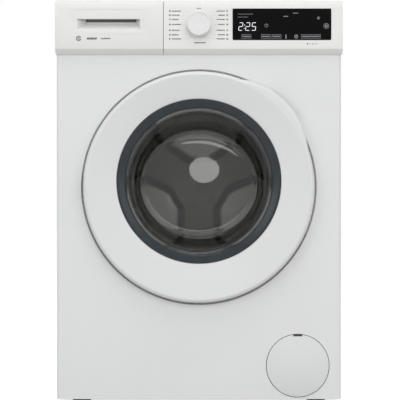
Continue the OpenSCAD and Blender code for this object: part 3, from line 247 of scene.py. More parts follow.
def grain(tree, place, scale, stretch=(1, 1, 1), detail=3.0):
    """Noise of a given fineness, drawn out along an axis when stretch is uneven."""
    fit = add_node(tree, "Mapping", Scale=[scale * s for s in stretch])
    noise = add_node(tree, "TexNoise", Scale=1.0, Detail=detail)
    tree.links.new(place, fit.inputs["Vector"])
    tree.links.new(fit.outputs[0], noise.inputs["Vector"])
    return noise.outputs["Fac"]


def cells(tree, place, scale, output="Distance"):
    """Cell pattern for zinc flowers and pores."""
    pattern = add_node(tree, "TexVoronoi", Scale=scale)
    tree.links.new(place, pattern.inputs["Vector"])
    return pattern.outputs[output]


def tint(tree, shader, fac, low, high, start=0.35, end=0.65):
    """Lets a pattern choose between two close colours."""
    ramp = add_node(tree, "ValToRGB")
    for stop, at, colour in zip(ramp.color_ramp.elements, (start, end), (low, high)):
        stop.position = at
        stop.color = (*colour, 1)
    tree.links.new(fac, ramp.inputs[0])
    tree.links.new(ramp.outputs[0], shader.inputs["Base Color"])


def sheen_of(tree, shader, fac, low, high):
    """Lets a pattern change the roughness a little."""
    fit = add_node(tree, "MapRange", From_Min=0.3, From_Max=0.7, To_Min=low, To_Max=high)
    tree.links.new(fac, fit.inputs["Value"])
    tree.links.new(fit.outputs[0], shader.inputs["Roughness"])


def relief(tree, shader, fac, strength, height):
    """Raises and lowers the surface by a very small height."""
    bump = add_node(tree, "Bump", Strength=strength, Distance=height)
    tree.links.new(fac, bump.inputs["Height"])
    tree.links.new(bump.outputs[0], shader.inputs["Normal"])


print("finish helpers ready")

# %% [markdown]
# ### White enamel and white plastics
# The cabinet is sheet steel with baked enamel, the fascia and the door are moulded in
# ABS. All three are white, but enamel is smoother with a faint orange peel, and moulded
# plastic has a fine even grain. Small differences of tone keep them apart.

# %% White finishes


def white_finish(name, colour, rough, peel, peel_height, coat=0.0):
    """White enamel or plastic with a fine skin and hardly visible clouds."""
    mat, tree, shader, place = new_finish(name, colour, rough)
    cloud = grain(tree, place, 6, detail=1.0)
    darker = tuple(c * 0.985 for c in colour)
    tint(tree, shader, cloud, darker, colour)
    skin = grain(tree, place, peel, detail=2.0)
    sheen_of(tree, shader, skin, rough * 0.92, rough * 1.08)
    relief(tree, shader, skin, 0.25, peel_height)
    set_inputs(shader, Coat_Weight=coat, Coat_Roughness=0.12)
    return mat


enamel = white_finish("white_enamel", (0.74, 0.745, 0.745), 0.34, 420, 0.00006, coat=0.25)
enamel_side = white_finish("white_enamel_sides", (0.72, 0.725, 0.725), 0.42, 380, 0.00008)
fascia_white = white_finish("fascia_abs", (0.775, 0.775, 0.765), 0.42, 1400, 0.00003)
door_white = white_finish("door_abs", (0.715, 0.72, 0.722), 0.30, 900, 0.00002, coat=0.08)
knob_white = white_finish("knob_abs", (0.76, 0.76, 0.755), 0.24, 1500, 0.00002, coat=0.25)
top_white = white_finish("worktop_laminate", (0.75, 0.75, 0.745), 0.45, 700, 0.00008)
print("white finishes:", enamel.name, fascia_white.name, door_white.name)

# %% [markdown]
# ### Metals
# Zinc coated steel shows flat crystals, stainless sheet shows fine lines from rolling,
# turned parts show rings, and cast aluminium has a dull pebbled skin. The drum's back
# carries painted light and shade: its raised fields are painted bright as if lit, its
# arms a middle grey and the slopes between them dark as painted shade, so its colour
# follows a value that each of its points carries.

# %% Metal finishes


def zinc_finish(name, colour, rough):
    """Zinc coated sheet with its flat crystals."""
    mat, tree, shader, place = new_finish(name, colour, rough, 0.9)
    flower = cells(tree, place, 90, output="Color")
    tint(tree, shader, flower, tuple(c * 0.86 for c in colour), colour, 0.1, 0.9)
    sheen_of(tree, shader, grain(tree, place, 60), rough * 0.85, rough * 1.2)
    relief(tree, shader, grain(tree, place, 900), 0.2, 0.00004)
    return mat


def lined_metal(name, colour, rough, stretch, scale=900, height=0.00003):
    """Metal with fine lines; the lines run along the axes that stretch keeps small."""
    mat, tree, shader, place = new_finish(name, colour, rough, 1.0)
    lines = grain(tree, place, scale, stretch, detail=4.0)
    tint(tree, shader, lines, tuple(c * 0.9 for c in colour), colour)
    sheen_of(tree, shader, lines, rough * 0.8, rough * 1.25)
    relief(tree, shader, lines, 0.3, height)
    return mat


def cast_metal(name, colour, rough):
    """A casting with a dull pebbled skin."""
    mat, tree, shader, place = new_finish(name, colour, rough, 0.85)
    pebble = grain(tree, place, 500, detail=5.0)
    tint(tree, shader, grain(tree, place, 40), tuple(c * 0.88 for c in colour), colour)
    sheen_of(tree, shader, pebble, rough * 0.9, rough * 1.15)
    relief(tree, shader, pebble, 0.5, 0.0002)
    return mat


zinc = zinc_finish("zinc_sheet", (0.55, 0.56, 0.57), 0.42)
zinc_thin = zinc_finish("zinc_cover", (0.50, 0.51, 0.52), 0.38)
bright_steel = lined_metal("bright_steel", (0.62, 0.62, 0.63), 0.3, (1, 1, 0.06))
turned_steel = lined_metal("turned_steel", (0.66, 0.66, 0.66), 0.22, (0.05, 1, 0.05))
spring_steel = lined_metal("spring_steel", (0.40, 0.40, 0.41), 0.35, (1, 1, 1), 1500)
drum_steel = lined_metal("drum_stainless", (0.60, 0.595, 0.58), 0.26, (0.04, 1, 0.04))
cast_aluminium = cast_metal("cast_aluminium", (0.56, 0.57, 0.58), 0.5)
heater_steel = lined_metal("heater_tube", (0.45, 0.43, 0.40), 0.36, (1, 0.05, 1), 1200)
print("metal finishes ready")

# %% Finish of the drum's back, with painted light and shade
drum_back_painted_light, tree, shader, place = new_finish("drum_back_painted_light_and_shade", (0.6, 0.6, 0.58), 0.35, 1.0)
painted_light_mask = add_node(tree, "Attribute")
painted_light_mask.attribute_name = "field"
# Painted light and shade: bright raised fields stand for lit ones, dark slopes for shaded ones.
painted_light_ramp = add_node(tree, "ValToRGB")
painted_light_ramp.color_ramp.elements[0].color = (0.27, 0.268, 0.255, 1)
painted_light_ramp.color_ramp.elements[1].color = (0.95, 0.94, 0.90, 1)
for height, grey in ((0.05, 0.13), (0.35, 0.07), (0.75, 0.12)):
    shade_stop = painted_light_ramp.color_ramp.elements.new(height)
    shade_stop.color = (grey, grey, grey * 0.95, 1)
tree.links.new(painted_light_mask.outputs["Fac"], painted_light_ramp.inputs[0])
tree.links.new(painted_light_ramp.outputs[0], shader.inputs["Base Color"])
sheen_of(tree, shader, grain(tree, place, 900, (0.04, 1, 0.04), 4.0), 0.34, 0.46)
relief(tree, shader, grain(tree, place, 600, (0.05, 1, 1), 4.0), 0.3, 0.00004)
print("drum back finish:", drum_back_painted_light.name)

# %% [markdown]
# ### Plastics, rubber and concrete
# Filled polypropylene is matt with pale specks, rubber is darker and scatters light, and
# the balance weights are plain concrete with pores and grit.

# %% Plastic, rubber and concrete finishes


def moulded(name, colour, rough, specks=0.06, height=0.00005):
    """Matt moulded plastic with pale specks."""
    mat, tree, shader, place = new_finish(name, colour, rough)
    fleck = grain(tree, place, 700, detail=6.0)
    tint(tree, shader, fleck, colour, tuple(min(1, c * (1 + specks) + 0.004) for c in colour))
    sheen_of(tree, shader, grain(tree, place, 120), rough * 0.9, rough * 1.1)
    relief(tree, shader, fleck, 0.35, height)
    return mat


def rubber_finish(name, colour):
    """Rubber with a trace of dust."""
    mat, tree, shader, place = new_finish(name, colour, 0.62)
    dust = grain(tree, place, 25, detail=5.0)
    tint(tree, shader, dust, colour, tuple(c * 1.18 + 0.01 for c in colour))
    sheen_of(tree, shader, dust, 0.52, 0.74)
    relief(tree, shader, grain(tree, place, 1300), 0.3, 0.00006)
    return mat


def concrete_finish(name):
    """Concrete with pores and uneven grey."""
    mat, tree, shader, place = new_finish(name, (0.36, 0.35, 0.33), 0.9)
    tint(tree, shader, grain(tree, place, 55, detail=8.0), (0.27, 0.26, 0.25), (0.43, 0.42, 0.40))
    relief(tree, shader, cells(tree, place, 320), 0.8, 0.0006)
    return mat


tub_grey = moulded("tub_polypropylene", (0.44, 0.46, 0.47), 0.52, 0.10)
tray_grey = moulded("tray_polypropylene", (0.62, 0.64, 0.66), 0.42)
housing_grey = moulded("housing_polypropylene", (0.50, 0.52, 0.53), 0.5)
lifter_grey = moulded("lifter_polypropylene", (0.30, 0.31, 0.31), 0.45)
dark_plastic = moulded("dark_plastic", (0.03, 0.031, 0.034), 0.42, 0.3)
pan_dark = moulded("base_pan_plastic", (0.045, 0.047, 0.05), 0.55, 0.25)
cap_grey = moulded("filter_cap_plastic", (0.20, 0.22, 0.25), 0.4)
siphon_blue = moulded("siphon_plastic", (0.10, 0.24, 0.46), 0.35)
valve_white = moulded("valve_plastic", (0.64, 0.65, 0.66), 0.45)
pump_grey = moulded("pump_plastic", (0.33, 0.35, 0.37), 0.48)
foot_grey = moulded("foot_plastic", (0.22, 0.22, 0.225), 0.55)
# Painted shadow: a dark grey for the strip that stands for the shade inside the drawer pull.
painted_shadow_grey = moulded("pull_painted_shadow", (0.10, 0.10, 0.102), 0.5)
gasket_rubber = rubber_finish("gasket_rubber", (0.10, 0.102, 0.104))
hose_rubber = rubber_finish("hose_rubber", (0.12, 0.125, 0.13))
black_rubber = rubber_finish("black_rubber", (0.025, 0.025, 0.026))
concrete = concrete_finish("weight_concrete")
print("plastics and rubber ready")

# %% [markdown]
# ### Special finishes
# The trim ring is a deep blue grey gloss, the window is clear smoked glass, the display
# is black glass that carries pale lit segments, and the control board is green with
# copper tracks under its lacquer.

# %% Glossy and clear finishes
trim_dark, tree, shader, place = new_finish("trim_ring_gloss", (0.016, 0.022, 0.027), 0.26)
set_inputs(shader, Specular_IOR_Level=0.32)
tint(tree, shader, grain(tree, place, 30), (0.014, 0.021, 0.026), (0.018, 0.026, 0.032))
relief(tree, shader, grain(tree, place, 1200), 0.15, 0.00002)

window_glass, tree, shader, place = new_finish("smoked_glass", (0.38, 0.385, 0.37), 0.0)
set_inputs(shader, Transmission_Weight=1.0, IOR=1.47)
sheen_of(tree, shader, grain(tree, place, 35), 0.0, 0.012)
relief(tree, shader, grain(tree, place, 22, detail=1.0), 0.12, 0.0004)

display_black, tree, shader, place = new_finish("display_glass", (0.003, 0.003, 0.003), 0.1)
set_inputs(shader, Specular_IOR_Level=0.06)
sheen_of(tree, shader, grain(tree, place, 260), 0.08, 0.13)
print("glossy finishes:", trim_dark.name, window_glass.name, display_black.name)

# %% Control board
board_green, tree, shader, place = new_finish("circuit_board", (0.02, 0.14, 0.06), 0.35)
tracks = add_node(tree, "TexBrick", Scale=60, Mortar_Size=0.06, Mortar=(0.10, 0.22, 0.07, 1),
                  Color1=(0.015, 0.11, 0.045, 1), Color2=(0.02, 0.15, 0.06, 1))
turn_board = add_node(tree, "Mapping", Rotation=(math.radians(90), 0, 0))
tree.links.new(place, turn_board.inputs[0])
tree.links.new(turn_board.outputs[0], tracks.inputs["Vector"])
tree.links.new(tracks.outputs["Color"], shader.inputs["Base Color"])
relief(tree, shader, tracks.outputs["Fac"], 0.4, 0.0002)
print("board finish:", board_green.name)

# %% Prints and lit segments


def segment_finish(name, colour, glow, strength):
    """A sign of the display, with a little light of its own."""
    mat, tree, shader, place = new_finish(name, colour, 0.4)
    set_inputs(shader, Emission_Color=(*glow, 1), Emission_Strength=strength)
    sheen_of(tree, shader, grain(tree, place, 900), 0.35, 0.45)
    return mat


def ink_finish(name, colour, low, high):
    """Printed ink, a little uneven."""
    mat, tree, shader, place = new_finish(name, colour, 0.5)
    tint(tree, shader, grain(tree, place, 2500), low, high)
    return mat


lit_segment = segment_finish("lit_segment", (0.8, 0.8, 0.85), (0.86, 0.84, 1.0), 0.4)
dim_segment = segment_finish("dim_segment", (0.16, 0.16, 0.17), (0.75, 0.75, 0.82), 0.16)
grey_print = ink_finish("grey_print", (0.035, 0.035, 0.038), (0.03, 0.03, 0.033), (0.05, 0.05, 0.053))
pale_print = ink_finish("pale_print", (0.46, 0.46, 0.46), (0.43, 0.43, 0.43), (0.49, 0.49, 0.49))
print("print finishes:", lit_segment.name, dim_segment.name, grey_print.name, pale_print.name)

# %% [markdown]
# ### Give every CAD piece its finish
# One table names the finish of each node, so nothing is forgotten: the loop under it
# stops the script if a piece was left out.

# %% Finish of each node
FINISH_OF = {
    enamel: ["front_panel"],
    enamel_side: ["side_panel_left", "side_panel_right"],
    top_white: ["worktop"],
    fascia_white: ["control_panel", "drawer_front"],
    knob_white: ["control_knob"],
    door_white: ["door_front_frame", "filter_cover"],
    zinc: ["rear_panel", "spring_rail", "hinge_bracket"],
    zinc_thin: ["service_cover"],
    bright_steel: ["cabinet_screws", "foot_locknuts", "hinge_arm", "door_hook", "drum_pulley"],
    turned_steel: ["door_pins", "drum_bearings", "motor_rotor", "damper_rods"],
    spring_steel: ["springs"],
    drum_steel: ["drum_shell"],
    drum_back_painted_light: ["drum_back"],
    cast_aluminium: ["drum_spider"],
    heater_steel: ["heater"],
    tub_grey: ["tub_front", "tub_rear", "door_inner_frame"],
    tray_grey: ["drawer_tray"],
    housing_grey: ["dispenser_housing"],
    lifter_grey: ["drum_lifters"],
    dark_plastic: ["mains_inlet", "door_lock", "motor_housing", "pump_impeller"],
    pan_dark: ["base_pan", "damper_cylinders", "filter_recess"],
    cap_grey: ["filter_cap"],
    siphon_blue: ["siphon_cap"],
    valve_white: ["inlet_valve"],
    pump_grey: ["pump_housing"],
    gasket_rubber: ["gasket"],
    hose_rubber: ["internal_hoses", "sump_hose"],
    black_rubber: ["dispenser_bellows", "shaft_seal", "drive_belt"],
    foot_grey: ["foot_front_left", "foot_front_right", "foot_rear_left", "foot_rear_right"],
    concrete: ["front_counterweights", "top_counterweight"],
    trim_dark: ["door_trim_ring"],
    window_glass: ["door_glass"],
    display_black: ["display_window"],
    board_green: ["control_board"],
}

finish_of_node = {n: mat for mat, names in FINISH_OF.items() for n in names}
for name, node in nodes.items():
    node.data.materials.clear()
    node.data.materials.append(finish_of_node[name])
print("nodes with a finish:", len(finish_of_node), "of", len(nodes))

# %% [markdown]
# ## Modelling helpers
# The pieces below are modelled the way it is done by hand. A round piece starts as one
# vertex that is pulled out into a profile and spun about its axis. A piece whose rings
# change shape or drift off centre, such as the door, is built ring by ring in mesh code,
# because no operator follows such a wall. Every piece ends at the origin, with its doubles
# merged and its faces pointing out.

# %% Select, clean and settle


def only(obj):
    """Selects one object and nothing else, and makes it the active one."""
    bpy.ops.object.select_all(action="DESELECT")
    obj.select_set(True)
    bpy.context.view_layer.objects.active = obj


def edit_all(obj):
    """Goes into edit mode with everything selected."""
    only(obj)
    bpy.ops.object.mode_set(mode="EDIT")
    bpy.ops.mesh.select_all(action="SELECT")


def clean(obj):
    """Merges doubles first, then turns all faces outwards."""
    edit_all(obj)
    bpy.ops.mesh.remove_doubles(threshold=0.00001)
    bpy.ops.mesh.normals_make_consistent(inside=False)
    bpy.ops.object.mode_set(mode="OBJECT")


def settle(obj, finish, body, node=None, smooth=35):
    """Puts the place into the mesh, smooths soft edges, adds the finish and the body.

    A piece that is given a node takes the place of that CAD piece.
    """
    only(obj)
    bpy.ops.object.transform_apply(location=True, rotation=True, scale=True)
    bpy.ops.object.shade_smooth_by_angle(angle=math.radians(smooth))
    obj.data.materials.clear()
    obj.data.materials.append(finish)
    if body:
        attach(obj, body)
    if node:
        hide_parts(node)
    print(obj.name, "has", len(obj.data.polygons), "faces")
    return obj


print("objects can be settled")

# %% Cut and round


def apply_all(obj):
    """Applies the modifiers of an object from the top down."""
    only(obj)
    for name in [m.name for m in obj.modifiers]:
        bpy.ops.object.modifier_apply(modifier=name)


def cut(obj, tool):
    """Takes the tool's solid away from the object and deletes the tool."""
    hole = obj.modifiers.new("hole", "BOOLEAN")
    hole.operation = "DIFFERENCE"
    hole.solver = "EXACT"
    hole.object = tool
    apply_all(obj)
    bpy.data.objects.remove(tool)


def rounded_block(name, low, high, radius, segments=3):
    """A block between two corners, in metres, with all its edges rounded."""
    middle = (Vector(low) + Vector(high)) / 2
    size = Vector(high) - Vector(low)
    bpy.ops.object.select_all(action="DESELECT")
    bpy.ops.mesh.primitive_cube_add(size=1, location=middle, scale=size)
    obj = bpy.context.object
    obj.name = name
    bpy.ops.object.transform_apply(location=True, rotation=True, scale=True)
    edit_all(obj)
    bpy.ops.mesh.bevel(offset=radius, segments=segments, affect="EDGES")
    bpy.ops.object.mode_set(mode="OBJECT")
    return obj


print("blocks can be rounded and cut")

# %% Spin and loft


def spun(name, profile, x, z, steps=180):
    """Spins a closed profile of (radius, depth) in millimetres about an axis along Y."""
    points = [Vector((x + r * MM, depth(d), z)) for r, d in profile]
    points.append(points[0])
    bpy.ops.object.select_all(action="DESELECT")
    bpy.ops.mesh.primitive_plane_add(size=0.001, location=points[0])
    obj = bpy.context.object
    obj.name = name
    bpy.ops.object.transform_apply(location=True, rotation=True, scale=True)
    bpy.ops.object.mode_set(mode="EDIT")
    bpy.ops.mesh.select_mode(type="VERT")
    bpy.ops.mesh.select_all(action="SELECT")
    bpy.ops.mesh.merge(type="CENTER")
    for a, b in zip(points, points[1:]):
        bpy.ops.mesh.extrude_vertices_move(TRANSFORM_OT_translate={"value": b - a})
    bpy.ops.mesh.select_all(action="SELECT")
    bpy.ops.mesh.spin(steps=steps, angle=math.tau, center=(x, 0, z), axis=(0, 1, 0))
    bpy.ops.object.mode_set(mode="OBJECT")
    clean(obj)
    return obj


def object_from(build, name):
    """Turns finished mesh code into an object of the scene."""
    mesh = bpy.data.meshes.new(name)
    build.to_mesh(mesh)
    build.free()
    obj = bpy.data.objects.new(name, mesh)
    bpy.context.scene.collection.objects.link(obj)
    return obj


def lofted(name, rings, closed=True):
    """A skin over rings of points with the same count; closed joins the last to the first."""
    build = bmesh.new()
    rows = [[build.verts.new(p) for p in ring] for ring in rings]
    pairs = list(zip(rows, rows[1:] + rows[:1])) if closed else list(zip(rows, rows[1:]))
    for low, high in pairs:
        for i in range(len(low)):
            j = (i + 1) % len(low)
            build.faces.new((low[i], low[j], high[j], high[i]))
    obj = object_from(build, name)
    clean(obj)
    return obj


def oval(a, b, d, z, count):
    """Ring of points with half width a and half height b at depth d, all in millimetres."""
    return [(a * MM * math.cos(math.tau * i / count), depth(d),
             z + b * MM * math.sin(math.tau * i / count)) for i in range(count)]


def circle(r, d, z, count):
    """Ring of points of radius r at depth d, in millimetres."""
    return oval(r, r, d, z, count)


print("skins can be spun and lofted")

# %% Soften a copy of a CAD piece
SHARP = math.radians(40)


def softened(node, width, finish, body, segments=2, smooth=35):
    """A copy of a CAD node with its doubles merged and its sharp edges rounded."""
    copy = bpy.data.objects.new(node + "_soft", nodes[node].data.copy())
    copy.matrix_world = nodes[node].matrix_world
    bpy.context.scene.collection.objects.link(copy)
    edit_all(copy)
    bpy.ops.mesh.remove_doubles(threshold=0.00002)
    if width:
        bpy.ops.mesh.dissolve_limited(angle_limit=math.radians(0.4))
    bpy.ops.object.mode_set(mode="OBJECT")
    if width:
        bevel = copy.modifiers.new("edges", "BEVEL")
        bevel.width = width
        bevel.segments = segments
        bevel.limit_method = "ANGLE"
        bevel.angle_limit = SHARP
        apply_all(copy)
    return settle(copy, finish, body, node, smooth=smooth)


print("CAD pieces can be softened")

# %% [markdown]
# ## Door
# The white door is a moulded ring. Its rim stands highest at a crest circle; inside the
# crest the face falls as a shallow funnel to the window, which sits a little higher than
# the door's middle. At the upper right the outline swells into a lobe that laps over the
# panel, and fingers go behind it. The outline is the larger of two circles at each angle,
# which is all that the rings need to know.

# %% Outline of the door
SIDES = 360
CREST = 8.0                                # the crest lies this far inside the edge
LOBE_ANGLE = math.radians(44)
LOBE_HALF = math.radians(24.5)
GRIP_OUT = 13.0                            # how far the lobe stands out
lobe_rise = DOOR_R + GRIP_OUT - DOOR_R * math.cos(LOBE_HALF)
lobe_r = ((DOOR_R * math.sin(LOBE_HALF)) ** 2 + lobe_rise ** 2) / (2 * lobe_rise)
lobe_c = DOOR_R + GRIP_OUT - lobe_r


def door_edge(angle, lap=True):
    """Radius of the door's outline at an angle, in millimetres."""
    turn = (angle - LOBE_ANGLE + math.pi) % math.tau - math.pi
    if not lap or abs(turn) >= LOBE_HALF:
        return DOOR_R
    return max(DOOR_R, lobe_c * math.cos(turn)
               + math.sqrt(lobe_r ** 2 - (lobe_c * math.sin(turn)) ** 2))


def door_ring(inset, d, lap=True):
    """Ring along the outline, moved in by the inset, at depth d."""
    points = []
    for i in range(SIDES):
        angle = math.tau * i / SIDES
        r = (door_edge(angle, lap) - inset) * MM
        points.append((r * math.cos(angle), depth(d), DOOR_Z + r * math.sin(angle)))
    return points


def funnel_ring(share, lift=0.0):
    """Ring on the funnel: share 0 is the window's edge and 1 is the crest."""
    r = WINDOW_R + (DOOR_R - CREST - WINDOW_R) * share
    z = WINDOW_Z + (DOOR_Z - WINDOW_Z) * share
    return circle(r, -12 - 14 * share + lift, z, SIDES)


print("lobe radius:", round(lobe_r, 1), "mm")

# %% White door ring
rings = [circle(WINDOW_R, -3.3, WINDOW_Z, SIDES), circle(WINDOW_R, -11.2, WINDOW_Z, SIDES),
         circle(WINDOW_R + 0.5, -11.9, WINDOW_Z, SIDES), funnel_ring(0.03)]
rings += [funnel_ring(s) for s in (0.2, 0.4, 0.6, 0.8, 0.93)]
rings += [funnel_ring(0.975, 0.05), circle(DOOR_R - CREST + 0.2, -25.95, DOOR_Z, SIDES)]
for step in range(0, 91, 10):
    t = math.radians(step)
    rings.append(door_ring(CREST - CREST * math.sin(t) - 0.001, -15 - 11 * math.cos(t)))
rings += [door_ring(0, -5), door_ring(0.6, -3.6), door_ring(2, -3.0),
          door_ring(0.02, -2.9, False), door_ring(0, 3.5, False), door_ring(1, 4.5, False),
          door_ring(4.5, 4.5, False), door_ring(4.9, 3.5, False), door_ring(4.9, -14, False),
          door_ring(8, -22, False)]
rings += [funnel_ring(s, 2.6) for s in (0.9, 0.5, 0.06)]
rings += [circle(WINDOW_R + 2.5, -3.3, WINDOW_Z, SIDES)]
door_face = lofted("door_face", rings)
print("door ring:", len(door_face.data.polygons), "faces")

# %% Room for fingers and hinge
finger_room = rounded_block("finger_room", (0.201, depth(FASCIA_D), -0.042),
                            (0.281, depth(30), 0.042), 0.004)
finger_room.rotation_euler = (0, -LOBE_ANGLE, 0)
finger_room.location = (0, 0, DOOR_Z)
cut(door_face, finger_room)
hinge_room = rounded_block("hinge_room", (-0.251, depth(-18), DOOR_Z - 0.034),
                           (-0.219, depth(30), DOOR_Z + 0.034), 0.001)
cut(door_face, hinge_room)
settle(door_face, door_white, "door", "door_front_frame")

# %% [markdown]
# ## Trim ring and glass bowl
# The dark ring hides the screws and the edge of the glass. It is glossy with a soft bead,
# which draws the bright circle round the window. The bowl is pressed from one sheet of
# thick glass: round at its rim and oval at its end, which pushes the laundry back into
# the drum. It is made with an inner and an outer wall, so that light bends in it twice.

# %% Trim ring
trim_ring = spun("trim_ring", [
    (171.5, -3), (171.5, -11.4), (171.1, -12.3), (170.2, -12.9), (168.6, -12.9), (166.6, -12.3),
    (164.2, -11.2), (160, -9.6), (156.5, -8.2), (154.2, -6.9), (153.2, -5.6), (153, -4.6),
    (153, -3)], 0, WINDOW_Z, 240)
settle(trim_ring, trim_dark, "door", "door_trim_ring")

# %% Shape of the glass bowl
BOWL_SIDES = 180
BOWL_RIM = 148                     # radius of the round rim
BOWL_START = 3                     # depth of the rim
BOWL_A, BOWL_B = 131.0, 113.0      # half width and half height of the end
WAIST_A, WAIST_B = 16, 28          # how strongly the wall draws in on the way there
BOWL_DROP = 0.007                  # how far the end's middle lies below the window's
GLASS = 5.0                        # thickness of the glass
HOLLOW = 1.6                       # the end dips in by this much at its middle
END_ROUND = 1.6                    # depth of the rounding at the edge of the end


def bowl_ring(share, wall):
    """Ring of the bowl: share 0 is the round rim and 1 the oval end."""
    y = BOWL_START + (BOWL_DEPTH - BOWL_START - wall) * math.sin(share * math.pi / 2)
    rim = (BOWL_RIM - wall) * (1 - share ** 3)
    a = rim + (BOWL_A - wall) * share ** 3 - WAIST_A * share * (1 - share)
    b = rim + (BOWL_B - wall) * share ** 3 - WAIST_B * share * (1 - share)
    return oval(a, b, y, WINDOW_Z - BOWL_DROP * share, BOWL_SIDES)


def bowl_end(wall):
    """Rings of the end, from its rounded edge to its middle."""
    found = []
    for share in (0.985, 0.955, 0.9, 0.8, 0.65, 0.5, 0.35, 0.2, 0.08, 0.0):
        y = BOWL_DEPTH - wall - END_ROUND * (1 - min(1, (1 - share) / 0.1)) ** 2
        y -= HOLLOW * (1 - share * share)
        found.append(oval((BOWL_A - wall) * share, (BOWL_B - wall) * share, y,
                          WINDOW_Z - BOWL_DROP, BOWL_SIDES))
    return found


print("bowl:", 2 * BOWL_RIM, "mm wide at its rim")

# %% Glass bowl
WALL_STEPS = [k / 16 for k in range(16)] + [0.97]
outer = [bowl_ring(s, 0) for s in [0.02] + WALL_STEPS[1:]] + bowl_end(0)
inner = [bowl_ring(s, GLASS) for s in WALL_STEPS] + bowl_end(GLASS)
rim = [circle(r, d, WINDOW_Z, BOWL_SIDES) for r, d in (
    (143.4, 1.4), (145.0, 0.2), (168.9, 0.0), (169.9, 0.9), (169.9, 3.1), (168.9, 4.0), (149.6, 4.0))]
glass_bowl = lofted("glass_bowl", inner[::-1] + rim + outer, closed=False)
settle(glass_bowl, window_glass, "door", "door_glass", smooth=60)

# %% [markdown]
# ## Inside the door
# Through the glass one sees the folded rubber gasket, the drum's wall with its holes and
# the drum's back, a sheet with three raised fields between the arms of the spider. A
# press leaves soft slopes, so the back is a grid of rings whose depth comes from one
# smooth function of the place.

# %% Rounded profiles
CORNER_STEPS = 3


def soft_corners(points, radius):
    """A closed profile with its corners rounded, for pieces that are moulded or pressed."""
    found = []
    count = len(points)
    for i in range(count):
        here = Vector(points[i])
        before, after = Vector(points[i - 1]) - here, Vector(points[(i + 1) % count]) - here
        a = here + before * min(0.45, radius / max(before.length, 1e-6))
        b = here + after * min(0.45, radius / max(after.length, 1e-6))
        for k in range(CORNER_STEPS + 1):
            t = k / CORNER_STEPS
            found.append(tuple(a * (1 - t) ** 2 + here * 2 * t * (1 - t) + b * t * t))
    return found


print("profiles can be rounded")

# %% Gasket
gasket_profile = soft_corners([
    (185, 11.5), (185, 24), (176, 27), (163, 32), (165, 36), (171, 36), (176.6, 42), (176.6, 54),
    (172.6, 54), (172.6, 46), (165, 41), (160, 39), (157, 32), (161, 27), (174, 22), (174, 8),
    (177.6, 8), (177.6, 19), (179.4, 19), (179.4, 11.5)], 2.2)
gasket_soft = spun("gasket_soft", gasket_profile, 0, AXIS_Z, 160)
settle(gasket_soft, gasket_rubber, None, "gasket", smooth=60)
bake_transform(gasket_soft)

# %% Fields of the drum's back
HUB_R = 56                 # the fields start outside this radius, in millimetres
RIM_R = 240                # and end at this one
ROUND_SLOPE = 20           # width of the slope at either of them
ARM_HALF = 31              # half width of an arm at its root
ARM_GROWTH = 18            # and how much wider it is at the rim
SLOPE = 26                 # width of the slope beside an arm


def smooth_step(value):
    """Goes softly from 0 to 1 as the value does."""
    value = min(1.0, max(0.0, value))
    return value * value * (3 - 2 * value)


def raised_field(x, z):
    """How far the place lies on a raised field, from 0 on an arm to 1."""
    r = math.hypot(x, z)
    share = smooth_step((r - HUB_R) / ROUND_SLOPE) * smooth_step((RIM_R - r) / ROUND_SLOPE)
    for arm in (-90, 30, 150):
        a = math.radians(arm)
        along = x * math.cos(a) + z * math.sin(a)
        across = abs(-x * math.sin(a) + z * math.cos(a))
        if along > 0:
            half = ARM_HALF + ARM_GROWTH * smooth_step((along - 60) / 140)
            share *= smooth_step((across - half) / SLOPE)
    return share


print("height on an arm:", raised_field(0, -150), "between two:", raised_field(0, 150))

# %% Pressed back of the drum
BACK_SIDES = 240
BACK_D = 425.4             # depth of the sheet on its arms
FIELD_RISE = 15            # how far the fields stand forward

back_rings = []
for r in [261.4, 261.0, 258] + list(range(254, 1, -4)) + [0.0]:
    ring = []
    for i in range(BACK_SIDES):
        a = math.tau * i / BACK_SIDES
        x, z = r * math.cos(a), r * math.sin(a)
        ring.append((x * MM, depth(BACK_D - FIELD_RISE * raised_field(x, z)), AXIS_Z + z * MM))
    back_rings.append(ring)
drum_back_soft = lofted("drum_back_soft", back_rings, closed=False)
wall = drum_back_soft.modifiers.new("wall", "SOLIDIFY")
wall.thickness = 0.0009
wall.offset = -1
apply_all(drum_back_soft)
# The field value drives the painted light and shade of the back's finish.
fields = drum_back_soft.data.attributes.new("field", "FLOAT", "POINT")
for index, vertex in enumerate(drum_back_soft.data.vertices):
    fields.data[index].value = raised_field(vertex.co.x / MM, (vertex.co.z - AXIS_Z) / MM)
settle(drum_back_soft, drum_back_painted_light, "drum", "drum_back", smooth=60)

# %% [markdown]
# ## Programme knob
# The knob is a disc with a raised, rounded edge round a nearly flat face. A short mark
# on the face shows the programme. The grooves in its side give the fingers a hold: they
# are every second strip of faces, set in a little.

# %% Knob
GROOVES = 72
KNOB_D = -31.0                     # depth of the face at its edge

knob_profile = soft_corners([
    (0, -30.6), (20.6, KNOB_D), (21.5, -30.4), (22.6, -32.0), (24.0, -31.9), (25.7, -29.2),
    (26, -16.6), (26, -14.6), (19, -14.6), (19, -24.0), (0, -24.0)], 0.7)
knob_profile = [(max(0.0, r), y) for r, y in knob_profile]
knob = spun("knob", knob_profile, 0, KNOB_Z, 2 * GROOVES)
only(knob)
bpy.ops.object.mode_set(mode="EDIT")
bpy.ops.mesh.select_all(action="DESELECT")
bpy.ops.object.mode_set(mode="OBJECT")
for face in knob.data.polygons:
    middle = face.center
    r = math.hypot(middle.x, middle.z - KNOB_Z) / MM
    turn = math.atan2(middle.z - KNOB_Z, middle.x) / math.tau * GROOVES
    face.select = r > 25.2 and depth(-28.6) < middle.y < depth(-17) and turn % 1 < 0.5
bpy.ops.object.mode_set(mode="EDIT")
bpy.ops.mesh.select_mode(type="FACE")
bpy.ops.mesh.inset(thickness=0.00012, depth=-0.0003, use_individual=False)
bpy.ops.object.mode_set(mode="OBJECT")
